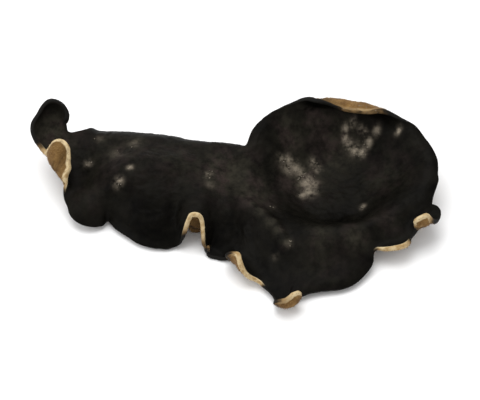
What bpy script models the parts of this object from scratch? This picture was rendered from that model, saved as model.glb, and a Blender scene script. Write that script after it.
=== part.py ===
"""A dried wood ear: one thin, tough sheet that grew as one piece.

The sheet is laid out as a height over the ground (X to the right, Y away from the front, Z up),
carried as a thin plate through the places whose height is known. Its margin then rolls up, down
or over, each stretch by its own width and turn. The short stub that it was cut from the wood by
stands under the waist, cut flat at the ground. The origin is the centre of that cut.
"""

from typing import NamedTuple

import bpy
import numpy as np

# Driving dimensions
MM = 0.001                      # metres in one millimetre; the tables below are in millimetres
SHEET_THICKNESS = 1.3 * MM      # of the dried sheet
MARGIN_THINNING = 0.95          # thickness at the cut margin, as a share of the sheet's
STUB_CENTRE = (0.0, 0.0)        # mm, on the ground
STUB_PROFILE = ((3.2, 0.0), (3.1, 0.35), (3.5, 0.7), (4.6, 1.0))   # mm across, share of its height
STUB_SIDES = 24
STUB_ROOT_DEPTH = 0.65 * MM     # how far below the sheet's upper side the stub's top lies
LEVEL_RADIUS = 6.0              # mm, the sheet is level over the stub this far out
CELLS_ALONG = 58                # mesh cells from the left end to the right end
CELLS_ACROSS = 26               # mesh cells from the front margin to the back margin
MARGIN_STEPS = 4                # mesh cells across the rolled margin
SMOOTHING_PASSES = 400          # evens out the cells between the margins
CURVE_STEPS = 24                # points on the margin's curve between two named places
SETTLING = 0.3                  # mm, how softly the sheet meets the ground it lies on
SETTLING_REACH = 20.0           # times SETTLING, past which the ground isn't felt
SLOPE_STEP = 0.4                # mm either way, over which the sheet's slope is read
SMALL_TURN = 0.02               # radians, a margin that turns less is as good as straight

FLESH_COLOUR = (0.030, 0.024, 0.022, 1.0)
FLESH_ROUGHNESS = 0.5
FLESH_METALLIC = 0.0


class Margin(NamedTuple):
    """A place on the line where the sheet's margin begins to roll, in mm and degrees."""

    x: float
    y: float
    z: float
    width: float    # of the rolled margin, measured round its bend
    turn: float     # up and inwards is positive, down and under is negative


class Fold(NamedTuple):
    """A ridge or a crease on the upper side: places of x, y and rise in mm, and how wide it is."""

    places: tuple
    half_width: float
    squareness: float = 3.0    # 2 is a bell, more has a flatter top and steeper sides


# The margin, counter-clockwise from the front of the left lobe.
FRONT_OF_LEFT_LOBE = (
    Margin(-36.8, -6.2, 6.5, 6.2, -50),
    Margin(-31.6, -6.2, 7.0, 7.4, -55),
    Margin(-27.5, -9.0, 7.0, 7.2, -50),
    Margin(-22.0, -12.3, 6.6, 7.4, -50),
    Margin(-18.2, -12.9, 6.4, 7.4, -50),
    Margin(-16.4, -12.9, 5.8, 6.6, -50),
)
PLEAT = (
    Margin(-14.8, -12.6, 5.2, 4.6, -40),
    Margin(-13.3, -12.3, 5.2, 2.4, -5),
    Margin(-12.2, -12.0, 5.2, 1.6, 30),
    Margin(-10.6, -11.9, 5.2, 1.4, 40),
    Margin(-9.0, -12.0, 5.2, 1.6, 30),
    Margin(-7.8, -12.3, 5.2, 2.4, -5),
    Margin(-6.5, -12.7, 5.2, 6.8, -45),
)
FRONT_OF_WAIST = (
    Margin(-5.2, -13.1, 5.0, 8.8, -42),
    Margin(-3.6, -14.3, 4.8, 10.8, -40),
    Margin(-1.6, -15.8, 4.4, 7.6, -32),
    Margin(0.2, -17.4, 3.9, 3.8, 20),
    Margin(1.8, -19.4, 3.2, 6.8, 118),
    Margin(4.4, -22.2, 2.8, 8.0, 132),
)
FLAP = (
    Margin(7.2, -26.0, 2.8, 3.6, 40),
    Margin(9.2, -29.8, 2.6, 2.2, -10),
    Margin(10.4, -31.8, 2.4, 2.0, 0),
    Margin(10.9, -33.2, 2.2, 2.0, 30),
    Margin(11.4, -33.9, 2.3, 4.2, 120),
    Margin(12.1, -33.4, 2.35, 4.2, 125),
    Margin(12.4, -32.1, 2.4, 1.6, 10),
    Margin(14.4, -30.2, 2.7, 2.2, -20),
    Margin(18.0, -28.2, 3.2, 3.0, -25),
    Margin(25.2, -27.0, 3.2, 3.0, -30),
    Margin(29.8, -23.0, 4.0, 3.0, -30),
    Margin(31.8, -19.2, 5.0, 1.6, 10),
    Margin(34.2, -17.4, 5.4, 2.6, 50),
    Margin(38.4, -17.0, 5.6, 3.2, 70),
)
RIGHT_END = (
    Margin(40.0, -15.2, 5.8, 2.2, 25),
    Margin(40.8, -13.2, 6.0, 4.0, 120),
    Margin(42.0, -12.0, 6.6, 5.4, 148),
    Margin(43.6, -11.5, 6.8, 5.6, 155),
    Margin(45.3, -11.0, 7.0, 4.2, 140),
    Margin(47.3, -9.9, 6.9, 2.0, 0),
    Margin(45.5, -8.2, 7.8, 2.4, -30),
    Margin(44.8, -2.0, 9.4, 4.0, -45),
    Margin(44.6, 4.0, 10.2, 4.0, -50),
    Margin(41.5, 9.1, 11.1, 4.0, -45),
)
BACK_OF_DISH = (
    Margin(37.3, 12.9, 11.5, 3.6, 45),
    Margin(33.8, 15.2, 11.3, 6.4, 120),
    Margin(30.0, 16.9, 11.1, 8.0, 142),
    Margin(24.5, 18.3, 11.2, 6.8, 138),
    Margin(19.4, 18.4, 11.2, 4.4, 95),
    Margin(15.2, 17.6, 11.3, 3.2, 20),
    Margin(10.6, 15.2, 11.6, 3.0, -10),
    Margin(6.6, 11.0, 11.2, 3.4, -35),
)
BACK_OF_LEFT_LOBE = (
    Margin(2.4, 6.3, 10.0, 3.0, -60),
    Margin(-6.0, 7.0, 9.9, 6.0, -72),
    Margin(-12.0, 7.9, 10.1, 7.4, -65),
    Margin(-18.0, 9.2, 10.4, 8.5, -60),
    Margin(-28.0, 10.2, 10.1, 8.0, -60),
    Margin(-36.4, 10.4, 8.2, 7.0, -60),
    Margin(-42.0, 11.6, 8.2, 2.2, -10),
)
KNOB = (
    Margin(-44.2, 12.8, 9.4, 3.2, 40),
    Margin(-45.4, 13.4, 10.2, 7.4, 45),
    Margin(-46.8, 12.6, 9.8, 4.8, 45),
    Margin(-46.4, 11.0, 8.4, 2.6, 60),
)
LEFT_CURL = (
    Margin(-44.6, 9.8, 7.4, 5.4, 130),
    Margin(-42.1, 8.2, 6.6, 13.0, 180),
    Margin(-39.8, 6.2, 6.2, 14.8, 186),
    Margin(-38.6, 4.0, 5.8, 12.4, 182),
    Margin(-38.2, 2.0, 5.4, 10.6, 176),
    Margin(-38.2, 0.0, 5.4, 8.4, 165),
    Margin(-38.5, -1.9, 5.6, 4.6, 100),
    Margin(-38.6, -3.9, 6.2, 4.4, -25),
)
MARGIN = (FRONT_OF_LEFT_LOBE + PLEAT + FRONT_OF_WAIST + FLAP
          + RIGHT_END + BACK_OF_DISH + BACK_OF_LEFT_LOBE + KNOB + LEFT_CURL)

# The mesh's four sides begin at these places in MARGIN.
FRONT_LEFT_CORNER = 0
FRONT_RIGHT_CORNER = MARGIN.index(RIGHT_END[5])
BACK_RIGHT_CORNER = MARGIN.index(BACK_OF_DISH[0])
BACK_LEFT_CORNER = MARGIN.index(KNOB[1])

# Heights of the upper side between the margins: x, y, z in mm.
HUMP_CREST = ((-33.0, 3.4, 9.0), (-26.0, 3.0, 12.2), (-18.0, 2.2, 12.6), (-9.0, 0.6, 10.4))
HUMP_FRONT = ((-30.0, -4.0, 10.2), (-20.0, -6.0, 10.6), (-6.0, -9.0, 8.4), (-2.0, -12.0, 7.0))
WAIST = ((0.6, -1.0, 7.2), (4.5, -8.0, 6.4), (3.5, 2.4, 8.2))
DISH_FLOOR = ((11.0, 1.5, 3.6), (17.0, 4.0, 1.5), (24.0, 3.0, 1.4), (31.0, 2.0, 2.6))
DISH_WALL = ((15.0, 11.0, 5.8), (25.0, 13.0, 4.8), (34.0, 10.0, 6.0), (39.0, 2.0, 5.8),
             (20.0, -9.6, 2.4), (30.0, -8.6, 2.8))
DISH_FRONT_RIDGE = ((11.0, -14.0, 6.8), (18.0, -16.0, 7.9), (26.0, -16.2, 8.1), (33.0, -13.4, 8.0),
                    (39.0, -9.0, 8.2))
FLAP_SLOPE = ((14.0, -23.0, 4.6), (23.0, -22.5, 4.6))
HEIGHTS = (HUMP_CREST + HUMP_FRONT + WAIST + DISH_FLOOR + DISH_WALL + DISH_FRONT_RIDGE
           + FLAP_SLOPE)

# Ridges and creases that run out from the middle.
FOLDS = (
    Fold(((-10.6, -16.0, 5.2), (-10.6, -12.0, 5.2), (-10.6, -8.0, 2.0), (-10.2, -2.0, 0.0)),
         3.9, 3.6),
    Fold(((0.5, -4.0, 0.0), (8.0, -13.0, 1.2), (11.0, -20.0, 0.8), (12.5, -27.0, 0.0)), 1.8),
    Fold(((-1.0, -7.0, 0.0), (2.0, -13.0, -1.4), (4.4, -18.0, -0.6), (6.0, -21.0, 0.0)), 2.0),
    Fold(((-4.0, 1.0, 0.0), (-16.0, -3.0, -0.8), (-27.0, -4.0, 0.0)), 2.2),
)


def plate_kernel(distance):
    """Return the thin plate's own spline of the distance, r^2 log r."""
    return np.where(distance > 0.0, distance ** 2 * np.log(np.maximum(distance, 1e-9)), 0.0)


class ThinPlate:
    """A smooth height through scattered points."""

    def __init__(self, points):
        self.places = points[:, :2]
        count = len(points)
        gaps = np.linalg.norm(self.places[:, None] - self.places[None], axis=2)
        flat = np.hstack([np.ones((count, 1)), self.places])
        system = np.block([[plate_kernel(gaps), flat], [flat.T, np.zeros((3, 3))]])
        self.weights = np.linalg.solve(system, np.append(points[:, 2], np.zeros(3)))

    def height(self, places):
        """Return the height at each of the places."""
        gaps = np.linalg.norm(places[..., None, :] - self.places, axis=-1)
        bent = plate_kernel(gaps) @ self.weights[:-3]
        return bent + self.weights[-3] + places @ self.weights[-2:]


def margin_curve():
    """Return the margin's places closely spaced on a round curve through the named ones."""
    table = np.array(MARGIN)
    before, start, end, after = (np.roll(table, shift, axis=0) for shift in (1, 0, -1, -2))
    curve = []
    for part in np.arange(CURVE_STEPS) / CURVE_STEPS:
        curve.append(0.5 * (2 * start + (end - before) * part
                            + (2 * before - 5 * start + 4 * end - after) * part ** 2
                            + (3 * start - before - 3 * end + after) * part ** 3))
    return np.stack(curve, axis=1).reshape(-1, table.shape[1])


def around_margin(plate):
    """Return the margin's places at the mesh's outer nodes, evenly spread between the corners."""
    curve = margin_curve()
    start = np.column_stack([curve[:, :2], sheet_height(plate, curve[:, :2])])
    edge = rolled_margin(plate, curve, 1)[0]
    effort = (np.linalg.norm(np.roll(start, -1, axis=0) - start, axis=1)
              + np.linalg.norm(np.roll(edge, -1, axis=0) - edge, axis=1))
    sides = ((FRONT_LEFT_CORNER, FRONT_RIGHT_CORNER, CELLS_ALONG),
             (FRONT_RIGHT_CORNER, BACK_RIGHT_CORNER, CELLS_ACROSS),
             (BACK_RIGHT_CORNER, BACK_LEFT_CORNER, CELLS_ALONG),
             (BACK_LEFT_CORNER, len(MARGIN), CELLS_ACROSS))
    rows = []
    for first, last, cells in sides:
        stretch = np.arange(first * CURVE_STEPS, last * CURVE_STEPS + 1) % len(curve)
        travelled = np.append(0.0, np.cumsum(effort[stretch[:-1]]))
        stations = np.linspace(0.0, travelled[-1], cells + 1)[:-1]
        rows.append(np.column_stack([np.interp(stations, travelled, column)
                                     for column in curve[stretch].T]))
    return np.vstack(rows)


def side_ring():
    """Return the grid cells (along, across) of the mesh's outer nodes, in the margin's order."""
    front = [(step, 0) for step in range(CELLS_ALONG)]
    right = [(CELLS_ALONG, step) for step in range(CELLS_ACROSS)]
    back = [(CELLS_ALONG - step, CELLS_ACROSS) for step in range(CELLS_ALONG)]
    left = [(0, CELLS_ACROSS - step) for step in range(CELLS_ACROSS)]
    return np.array(front + right + back + left)


def plan_grid(margin_places):
    """Return plan places for the whole grid, filled in between the four sides and then evened out."""
    ring = side_ring()
    grid = np.zeros((CELLS_ALONG + 1, CELLS_ACROSS + 1, 2))
    grid[ring[:, 0], ring[:, 1]] = margin_places
    along = np.linspace(0.0, 1.0, CELLS_ALONG + 1)[:, None, None]
    across = np.linspace(0.0, 1.0, CELLS_ACROSS + 1)[None, :, None]
    between_ends = (1 - along) * grid[:1] + along * grid[-1:]
    between_edges = (1 - across) * grid[:, :1] + across * grid[:, -1:]
    corners = ((1 - along) * ((1 - across) * grid[0, 0] + across * grid[0, -1])
               + along * ((1 - across) * grid[-1, 0] + across * grid[-1, -1]))
    grid = between_ends + between_edges - corners
    for _ in range(SMOOTHING_PASSES):
        run = (grid[2:, 1:-1] - grid[:-2, 1:-1]) / 2
        rise = (grid[1:-1, 2:] - grid[1:-1, :-2]) / 2
        twist = (grid[2:, 2:] - grid[:-2, 2:] - grid[2:, :-2] + grid[:-2, :-2]) / 4
        run_size = np.sum(run * run, axis=-1, keepdims=True)
        rise_size = np.sum(rise * rise, axis=-1, keepdims=True)
        lean = np.sum(run * rise, axis=-1, keepdims=True)
        grid[1:-1, 1:-1] = ((rise_size * (grid[2:, 1:-1] + grid[:-2, 1:-1])
                             + run_size * (grid[1:-1, 2:] + grid[1:-1, :-2]) - 2 * lean * twist)
                            / (2 * (run_size + rise_size)))
    return grid


def unit(vectors):
    """Return the vectors at length one."""
    return vectors / np.linalg.norm(vectors, axis=-1, keepdims=True)


def fold_rise(fold, places):
    """Return how far the fold lifts the sheet at each of the places, in mm."""
    nearest = np.full(places.shape[:-1], np.inf)
    lift = np.zeros(places.shape[:-1])
    for start, end in zip(fold.places[:-1], fold.places[1:]):
        run = np.subtract(end[:2], start[:2])
        share = np.clip((places - start[:2]) @ run / (run @ run), 0.0, 1.0)
        away = np.linalg.norm(places - start[:2] - share[..., None] * run, axis=-1)
        closer = away < nearest
        nearest = np.where(closer, away, nearest)
        lift = np.where(closer, start[2] + share * (end[2] - start[2]), lift)
    return lift * np.exp(-(nearest / fold.half_width) ** fold.squareness)


def settled(height, lowest):
    """Return the heights laid softly on the lowest height that the ground allows, in mm."""
    above = np.clip((height - lowest) / SETTLING, -SETTLING_REACH, SETTLING_REACH)
    return np.where(above < SETTLING_REACH, lowest + SETTLING * np.log1p(np.exp(above)), height)


def sheet_height(plate, places):
    """Return the upper side's height in mm: the plate and its folds, level over the stub."""
    centre = np.array(STUB_CENTRE)
    away = np.clip(np.linalg.norm(places - centre, axis=-1) / LEVEL_RADIUS, 0.0, 1.0)
    blend = away ** 2 * (3 - 2 * away)
    height = plate.height(places) + sum(fold_rise(fold, places) for fold in FOLDS)
    height = height * blend + plate.height(centre) * (1 - blend)
    return settled(height, SHEET_THICKNESS / MM)


def margin_thickness(share):
    """Return the thickness, as a share of the sheet's, this share of the way across the margin."""
    return 1 - (1 - MARGIN_THINNING) * share


def rolled_margin(plate, margin, steps):
    """Return the margin's loops of points, rolled by each place's own width and turn."""
    places = margin[:, :2]
    tangent = unit(np.roll(places, -1, axis=0) - np.roll(places, 1, axis=0))
    outward = np.column_stack([tangent[:, 1], -tangent[:, 0]])
    ahead = sheet_height(plate, places + outward * SLOPE_STEP)
    behind = sheet_height(plate, places - outward * SLOPE_STEP)
    rise = ((ahead - behind) / (2 * SLOPE_STEP))[:, None]
    out = unit(np.hstack([outward, rise]))
    upward = unit(np.hstack([-rise * outward, np.ones_like(rise)]))
    width = margin[:, 3]
    turn = np.radians(margin[:, 4])
    turn = np.where(np.abs(turn) < SMALL_TURN, SMALL_TURN, turn)
    start = np.column_stack([places, sheet_height(plate, places)])
    loops = []
    for step in range(1, steps + 1):
        bent = turn * step / steps
        reach = (width / turn * np.sin(bent))[:, None]
        lift = (width / turn * (1 - np.cos(bent)))[:, None]
        loop = start + reach * out + lift * upward
        thickness = SHEET_THICKNESS / MM * margin_thickness(step / steps)
        loop[:, 2] = settled(loop[:, 2], thickness)
        loops.append(loop)
    return loops


def sheet_mesh(plate):
    """Return the sheet's upper side as a mesh, and how thick the sheet is at each of its points."""
    margin = around_margin(plate)
    grid = plan_grid(margin[:, :2])
    height = sheet_height(plate, grid)
    points = [np.column_stack([grid.reshape(-1, 2), height.reshape(-1)])]
    ring = side_ring()
    inner = ring[:, 0] * (CELLS_ACROSS + 1) + ring[:, 1]
    faces = []
    for along in range(CELLS_ALONG):
        for across in range(CELLS_ACROSS):
            corner = along * (CELLS_ACROSS + 1) + across
            faces.append((corner, corner + CELLS_ACROSS + 1, corner + CELLS_ACROSS + 2, corner + 1))
    shares = [np.ones(len(points[0]))]
    for step, loop in enumerate(rolled_margin(plate, margin, MARGIN_STEPS), start=1):
        outer = len(np.vstack(points)) + np.arange(len(loop))
        points.append(loop)
        shares.append(np.full(len(loop), margin_thickness(step / MARGIN_STEPS)))
        for place in range(len(loop)):
            following = (place + 1) % len(loop)
            faces.append((inner[place], outer[place], outer[following], inner[following]))
        inner = outer
    mesh = bpy.data.meshes.new("wood_ear")
    mesh.from_pydata(np.vstack(points) * MM, [], faces)
    return mesh, np.concatenate(shares)


def stub_mesh(plate):
    """Return the stub as a closed mesh, from its flat cut up into the sheet that spreads from it."""
    angles = np.linspace(0.0, 2 * np.pi, STUB_SIDES, endpoint=False)
    circle = np.column_stack([np.cos(angles), np.sin(angles)])
    centre = np.array(STUB_CENTRE)
    rings = []
    for radius, share in STUB_PROFILE:
        places = centre + radius * circle
        top = sheet_height(plate, places) - STUB_ROOT_DEPTH / MM
        rings.append(np.column_stack([places, share * top]))
    crown = sheet_height(plate, centre[None])[0] - STUB_ROOT_DEPTH / MM
    points = np.vstack(rings + [np.append(centre, crown)])
    crown_index = len(points) - 1
    last_ring = crown_index - STUB_SIDES
    faces = [tuple(reversed(range(STUB_SIDES)))]
    for side in range(STUB_SIDES):
        following = (side + 1) % STUB_SIDES
        for low in range(0, last_ring, STUB_SIDES):
            high = low + STUB_SIDES
            faces.append((low + side, low + following, high + following, high + side))
        faces.append((last_ring + side, last_ring + following, crown_index))
    mesh = bpy.data.meshes.new("stub")
    mesh.from_pydata(points * MM, [], faces)
    return mesh


def flesh_material():
    """Return the dark, dried flesh."""
    material = bpy.data.materials.new("dried_flesh")
    material.use_nodes = True
    shader = material.node_tree.nodes["Principled BSDF"]
    shader.inputs["Base Color"].default_value = FLESH_COLOUR
    shader.inputs["Roughness"].default_value = FLESH_ROUGHNESS
    shader.inputs["Metallic"].default_value = FLESH_METALLIC
    return material


def main():
    """Build the ear."""
    for item in list(bpy.data.objects):
        bpy.data.objects.remove(item)
    plate = ThinPlate(np.array([place[:3] for place in MARGIN + HEIGHTS]))
    mesh, shares = sheet_mesh(plate)
    ear = bpy.data.objects.new("wood_ear", mesh)
    bpy.context.scene.collection.objects.link(ear)
    ear.data.materials.append(flesh_material())
    thickness = ear.vertex_groups.new(name="thickness")
    for index, share in enumerate(shares):
        thickness.add([index], share, "REPLACE")
    wall = ear.modifiers.new("wall", "SOLIDIFY")
    wall.thickness = SHEET_THICKNESS
    wall.offset = -1.0
    wall.vertex_group = thickness.name
    wall.use_quality_normals = True
    stub = bpy.data.objects.new("stub", stub_mesh(plate))
    bpy.context.scene.collection.objects.link(stub)
    stub.hide_render = True
    stub.display_type = "WIRE"
    rooted = ear.modifiers.new("stub", "BOOLEAN")
    rooted.operation = "UNION"
    rooted.solver = "EXACT"
    rooted.object = stub
    mesh.shade_smooth()


main()
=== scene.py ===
"""A dried wood ear on a pale studio floor.

The ear is one fruiting body: a thin, tough sheet that is near-black with a dusty bloom above and tan felt
below, with rolled and folded margins whose cut edge is cream, on the short stub it was cut from the wood by.
Two more pieces lie on it: the short hairs of the felt, and the crumbs and specks in the dish.

Lengths are in millimetres until a mesh is written, which is in metres. X runs to the right, Y away from the
front and Z up.
"""

import logging
import math
from dataclasses import dataclass
from enum import IntEnum
from typing import NamedTuple, Sequence

import bmesh
import bpy
import numpy as np
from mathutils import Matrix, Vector, noise
from mathutils.bvhtree import BVHTree
from mathutils.kdtree import KDTree


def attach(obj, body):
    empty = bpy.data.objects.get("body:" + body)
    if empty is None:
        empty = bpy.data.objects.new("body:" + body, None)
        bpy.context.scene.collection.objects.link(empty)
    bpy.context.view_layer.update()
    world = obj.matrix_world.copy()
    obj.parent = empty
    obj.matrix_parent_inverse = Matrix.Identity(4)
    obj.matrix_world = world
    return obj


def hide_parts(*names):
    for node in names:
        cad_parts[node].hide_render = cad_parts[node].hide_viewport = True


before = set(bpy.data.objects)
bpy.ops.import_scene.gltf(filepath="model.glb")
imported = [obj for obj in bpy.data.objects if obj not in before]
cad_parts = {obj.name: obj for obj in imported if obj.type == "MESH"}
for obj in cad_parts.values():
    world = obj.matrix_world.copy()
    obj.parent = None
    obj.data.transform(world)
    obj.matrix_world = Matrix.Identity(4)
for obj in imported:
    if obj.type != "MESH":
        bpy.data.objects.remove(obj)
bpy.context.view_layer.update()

LOG = logging.getLogger("wood_ear")
MM = 0.001
NODE = "wood_ear"
BODY = "root"
RANKING = (1.0, 0.31, 0.17)     # weights of x, y and z when corners are put in order
NEARLY_ZERO = 1e-6      # stands in for a distance of none
FINER_HEIGHT = 1.0      # each finer set of waves is lower by this power of its length
FINER_LENGTH = 2.0      # and this many times shorter

Colour = tuple[float, float, float, float]
CREAM_FLESH: Colour = (0.52, 0.41, 0.24, 1.0)


class Margin(NamedTuple):
    """A place on the line where the sheet's margin begins to roll."""

    x: float
    y: float
    z: float
    width: float    # of the rolled margin, measured round its bend
    turn: float     # degrees; up and inwards is positive, down and under is negative
    cream: float    # how much of the cut edge's cream shows, 0 to 1


class Fold(NamedTuple):
    """A ridge or a crease on the upper side: places of x, y and rise, and how wide it is."""

    places: tuple[tuple[float, float, float], ...]
    half_width: float
    squareness: float = 3.0    # 2 is a bell, more has a flatter top and steeper sides


class Spot(NamedTuple):
    """A round patch of something on the upper side."""

    x: float
    y: float
    radius: float
    strength: float


class Side(IntEnum):
    """The ear's sides, by the number of their material."""

    UPPER = 0
    LOWER = 1
    RIM = 2


WIDTH, TURN, CREAM = (Margin._fields.index(name) for name in ("width", "turn", "cream"))

# The margin, counter-clockwise from the front of the left lobe.
FRONT_OF_LEFT_LOBE = (
    Margin(-36.8, -6.2, 6.5, 6.2, -50, 0.2),
    Margin(-31.6, -6.2, 7.0, 7.4, -55, 0.2),
    Margin(-27.5, -9.0, 7.0, 7.2, -50, 0.2),
    Margin(-22.0, -12.3, 6.6, 7.4, -50, 0.2),
    Margin(-18.2, -12.9, 6.4, 7.4, -50, 0.2),
    Margin(-16.4, -12.9, 5.8, 6.6, -50, 0.1),
)
PLEAT = (
    Margin(-14.8, -12.6, 5.2, 4.6, -40, 0.4),
    Margin(-13.3, -12.3, 5.2, 2.4, -5, 0.9),
    Margin(-12.2, -12.0, 5.2, 1.6, 30, 1.0),
    Margin(-10.6, -11.9, 5.2, 1.4, 40, 1.0),
    Margin(-9.0, -12.0, 5.2, 1.6, 30, 1.0),
    Margin(-7.8, -12.3, 5.2, 2.4, -5, 1.0),
    Margin(-6.5, -12.7, 5.2, 6.8, -45, 0.55),
)
FRONT_OF_WAIST = (
    Margin(-5.2, -13.1, 5.0, 8.8, -42, 0.2),
    Margin(-3.6, -14.3, 4.8, 10.8, -40, 0.1),
    Margin(-1.6, -15.8, 4.4, 7.6, -32, 0.1),
    Margin(0.2, -17.4, 3.9, 3.8, 20, 0.1),
    Margin(1.8, -19.4, 3.2, 6.8, 118, 0.5),
    Margin(4.4, -22.2, 2.8, 8.0, 132, 1.0),
)
FLAP = (
    Margin(7.2, -26.0, 2.8, 3.6, 40, 1.0),
    Margin(9.2, -29.8, 2.6, 2.2, -10, 0.2),
    Margin(10.4, -31.8, 2.4, 2.0, 0, 0.1),
    Margin(10.9, -33.2, 2.2, 2.0, 30, 0.1),
    Margin(11.4, -33.9, 2.3, 4.2, 120, 0.65),
    Margin(12.1, -33.4, 2.35, 4.2, 125, 1.0),
    Margin(12.4, -32.1, 2.4, 1.6, 10, 0.8),
    Margin(14.4, -30.2, 2.7, 2.2, -20, 0.3),
    Margin(18.0, -28.2, 3.2, 3.0, -25, 0.3),
    Margin(25.2, -27.0, 3.2, 3.0, -30, 0.2),
    Margin(29.8, -23.0, 4.0, 3.0, -30, 0.2),
    Margin(31.8, -19.2, 5.0, 1.6, 10, 0.5),
    Margin(34.2, -17.4, 5.4, 2.6, 50, 0.9),
    Margin(38.4, -17.0, 5.6, 3.2, 70, 0.9),
)
RIGHT_END = (
    Margin(40.0, -15.2, 5.8, 2.2, 25, 0.2),
    Margin(40.8, -13.2, 6.0, 4.0, 120, 0.6),
    Margin(42.0, -12.0, 6.6, 5.4, 148, 1.0),
    Margin(43.6, -11.5, 6.8, 5.6, 155, 1.0),
    Margin(45.3, -11.0, 7.0, 4.2, 140, 0.8),
    Margin(47.3, -9.9, 6.9, 2.0, 0, 0.1),
    Margin(45.5, -8.2, 7.8, 2.0, -30, 0.0),
    Margin(44.8, -2.0, 9.4, 4.0, -45, 0.1),
    Margin(44.6, 4.0, 10.2, 4.0, -50, 0.1),
    Margin(41.5, 9.1, 11.1, 4.0, -45, 0.2),
)
BACK_OF_DISH = (
    Margin(37.3, 12.9, 11.5, 3.6, 45, 0.4),
    Margin(33.8, 15.2, 11.3, 6.4, 120, 0.6),
    Margin(30.0, 16.9, 11.1, 8.0, 142, 0.6),
    Margin(24.5, 18.3, 11.2, 6.8, 138, 0.5),
    Margin(19.4, 18.4, 11.2, 4.4, 95, 0.4),
    Margin(15.2, 17.6, 11.3, 3.2, 20, 0.2),
    Margin(10.6, 15.2, 11.6, 3.0, -10, 0.1),
    Margin(6.6, 11.0, 11.2, 3.4, -35, 0.1),
)
BACK_OF_LEFT_LOBE = (
    Margin(2.4, 6.3, 10.0, 3.0, -60, 0.1),
    Margin(-6.0, 7.0, 9.9, 6.0, -72, 0.2),
    Margin(-12.0, 7.9, 10.1, 7.4, -65, 0.2),
    Margin(-18.0, 9.2, 10.4, 8.5, -60, 0.2),
    Margin(-28.0, 10.2, 10.1, 8.0, -60, 0.2),
    Margin(-36.4, 10.4, 8.2, 7.0, -60, 0.2),
    Margin(-42.0, 11.6, 8.2, 2.2, -10, 0.0),
)
KNOB = (
    Margin(-44.2, 12.8, 9.4, 3.2, 40, 0.0),
    Margin(-45.4, 13.4, 10.2, 7.4, 45, 0.0),
    Margin(-46.8, 12.6, 9.8, 4.8, 45, 0.1),
    Margin(-46.4, 11.0, 8.4, 2.6, 60, 0.6),
)
LEFT_CURL = (
    Margin(-44.6, 9.8, 7.4, 5.4, 130, 1.0),
    Margin(-42.1, 8.2, 6.6, 13.0, 180, 1.0),
    Margin(-39.8, 6.2, 6.2, 14.8, 186, 1.0),
    Margin(-38.6, 4.0, 5.8, 12.4, 182, 1.0),
    Margin(-38.2, 2.0, 5.4, 10.6, 176, 1.0),
    Margin(-38.2, 0.0, 5.4, 8.4, 165, 1.0),
    Margin(-38.5, -1.9, 5.6, 4.6, 100, 0.9),
    Margin(-38.6, -3.9, 6.2, 4.4, -25, 0.2),
)
MARGIN = (FRONT_OF_LEFT_LOBE + PLEAT + FRONT_OF_WAIST + FLAP
          + RIGHT_END + BACK_OF_DISH + BACK_OF_LEFT_LOBE + KNOB + LEFT_CURL)

# The sheet's four sides begin at these places in MARGIN.
FRONT_LEFT_CORNER = 0
FRONT_RIGHT_CORNER = MARGIN.index(RIGHT_END[5])
BACK_RIGHT_CORNER = MARGIN.index(BACK_OF_DISH[0])
BACK_LEFT_CORNER = MARGIN.index(KNOB[1])

# Heights of the upper side between the margins: x, y, z.
HUMP_CREST = ((-33.0, 3.4, 9.0), (-26.0, 3.0, 12.2), (-18.0, 2.2, 12.6), (-9.0, 0.6, 10.4))
HUMP_FRONT = ((-30.0, -4.0, 10.2), (-20.0, -6.0, 10.6), (-6.0, -9.0, 8.4), (-2.0, -12.0, 7.0))
WAIST = ((0.6, -1.0, 7.2), (4.5, -8.0, 6.4), (3.5, 2.4, 8.2))
DISH_FLOOR = ((11.0, 1.5, 3.6), (17.0, 4.0, 1.5), (24.0, 3.0, 1.4), (31.0, 2.0, 2.6))
DISH_WALL = ((15.0, 11.0, 5.8), (25.0, 13.0, 4.8), (34.0, 10.0, 6.0), (39.0, 2.0, 5.8),
             (20.0, -9.6, 2.4), (30.0, -8.6, 2.8))
DISH_FRONT_RIDGE = ((11.0, -14.0, 6.8), (18.0, -16.0, 7.9), (26.0, -16.2, 8.1), (33.0, -13.4, 8.0),
                    (39.0, -9.0, 8.2))
FLAP_SLOPE = ((14.0, -23.0, 4.6), (23.0, -22.5, 4.6))
HEIGHTS = (HUMP_CREST + HUMP_FRONT + WAIST + DISH_FLOOR + DISH_WALL + DISH_FRONT_RIDGE
           + FLAP_SLOPE)

# Ridges and creases that run out from the middle.
FOLDS = (
    Fold(((-10.6, -16.0, 5.2), (-10.6, -12.0, 5.2), (-10.6, -8.0, 2.0), (-10.2, -2.0, 0.0)), 3.9, 3.6),
    Fold(((0.5, -4.0, 0.0), (8.0, -13.0, 1.2), (11.0, -20.0, 0.8), (12.5, -27.0, 0.0)), 1.8),
    Fold(((-1.0, -7.0, 0.0), (2.0, -13.0, -1.4), (4.4, -18.0, -0.6), (6.0, -21.0, 0.0)), 2.0),
    Fold(((-4.0, 1.0, 0.0), (-16.0, -3.0, -0.8), (-27.0, -4.0, 0.0)), 2.2),
)

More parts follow.
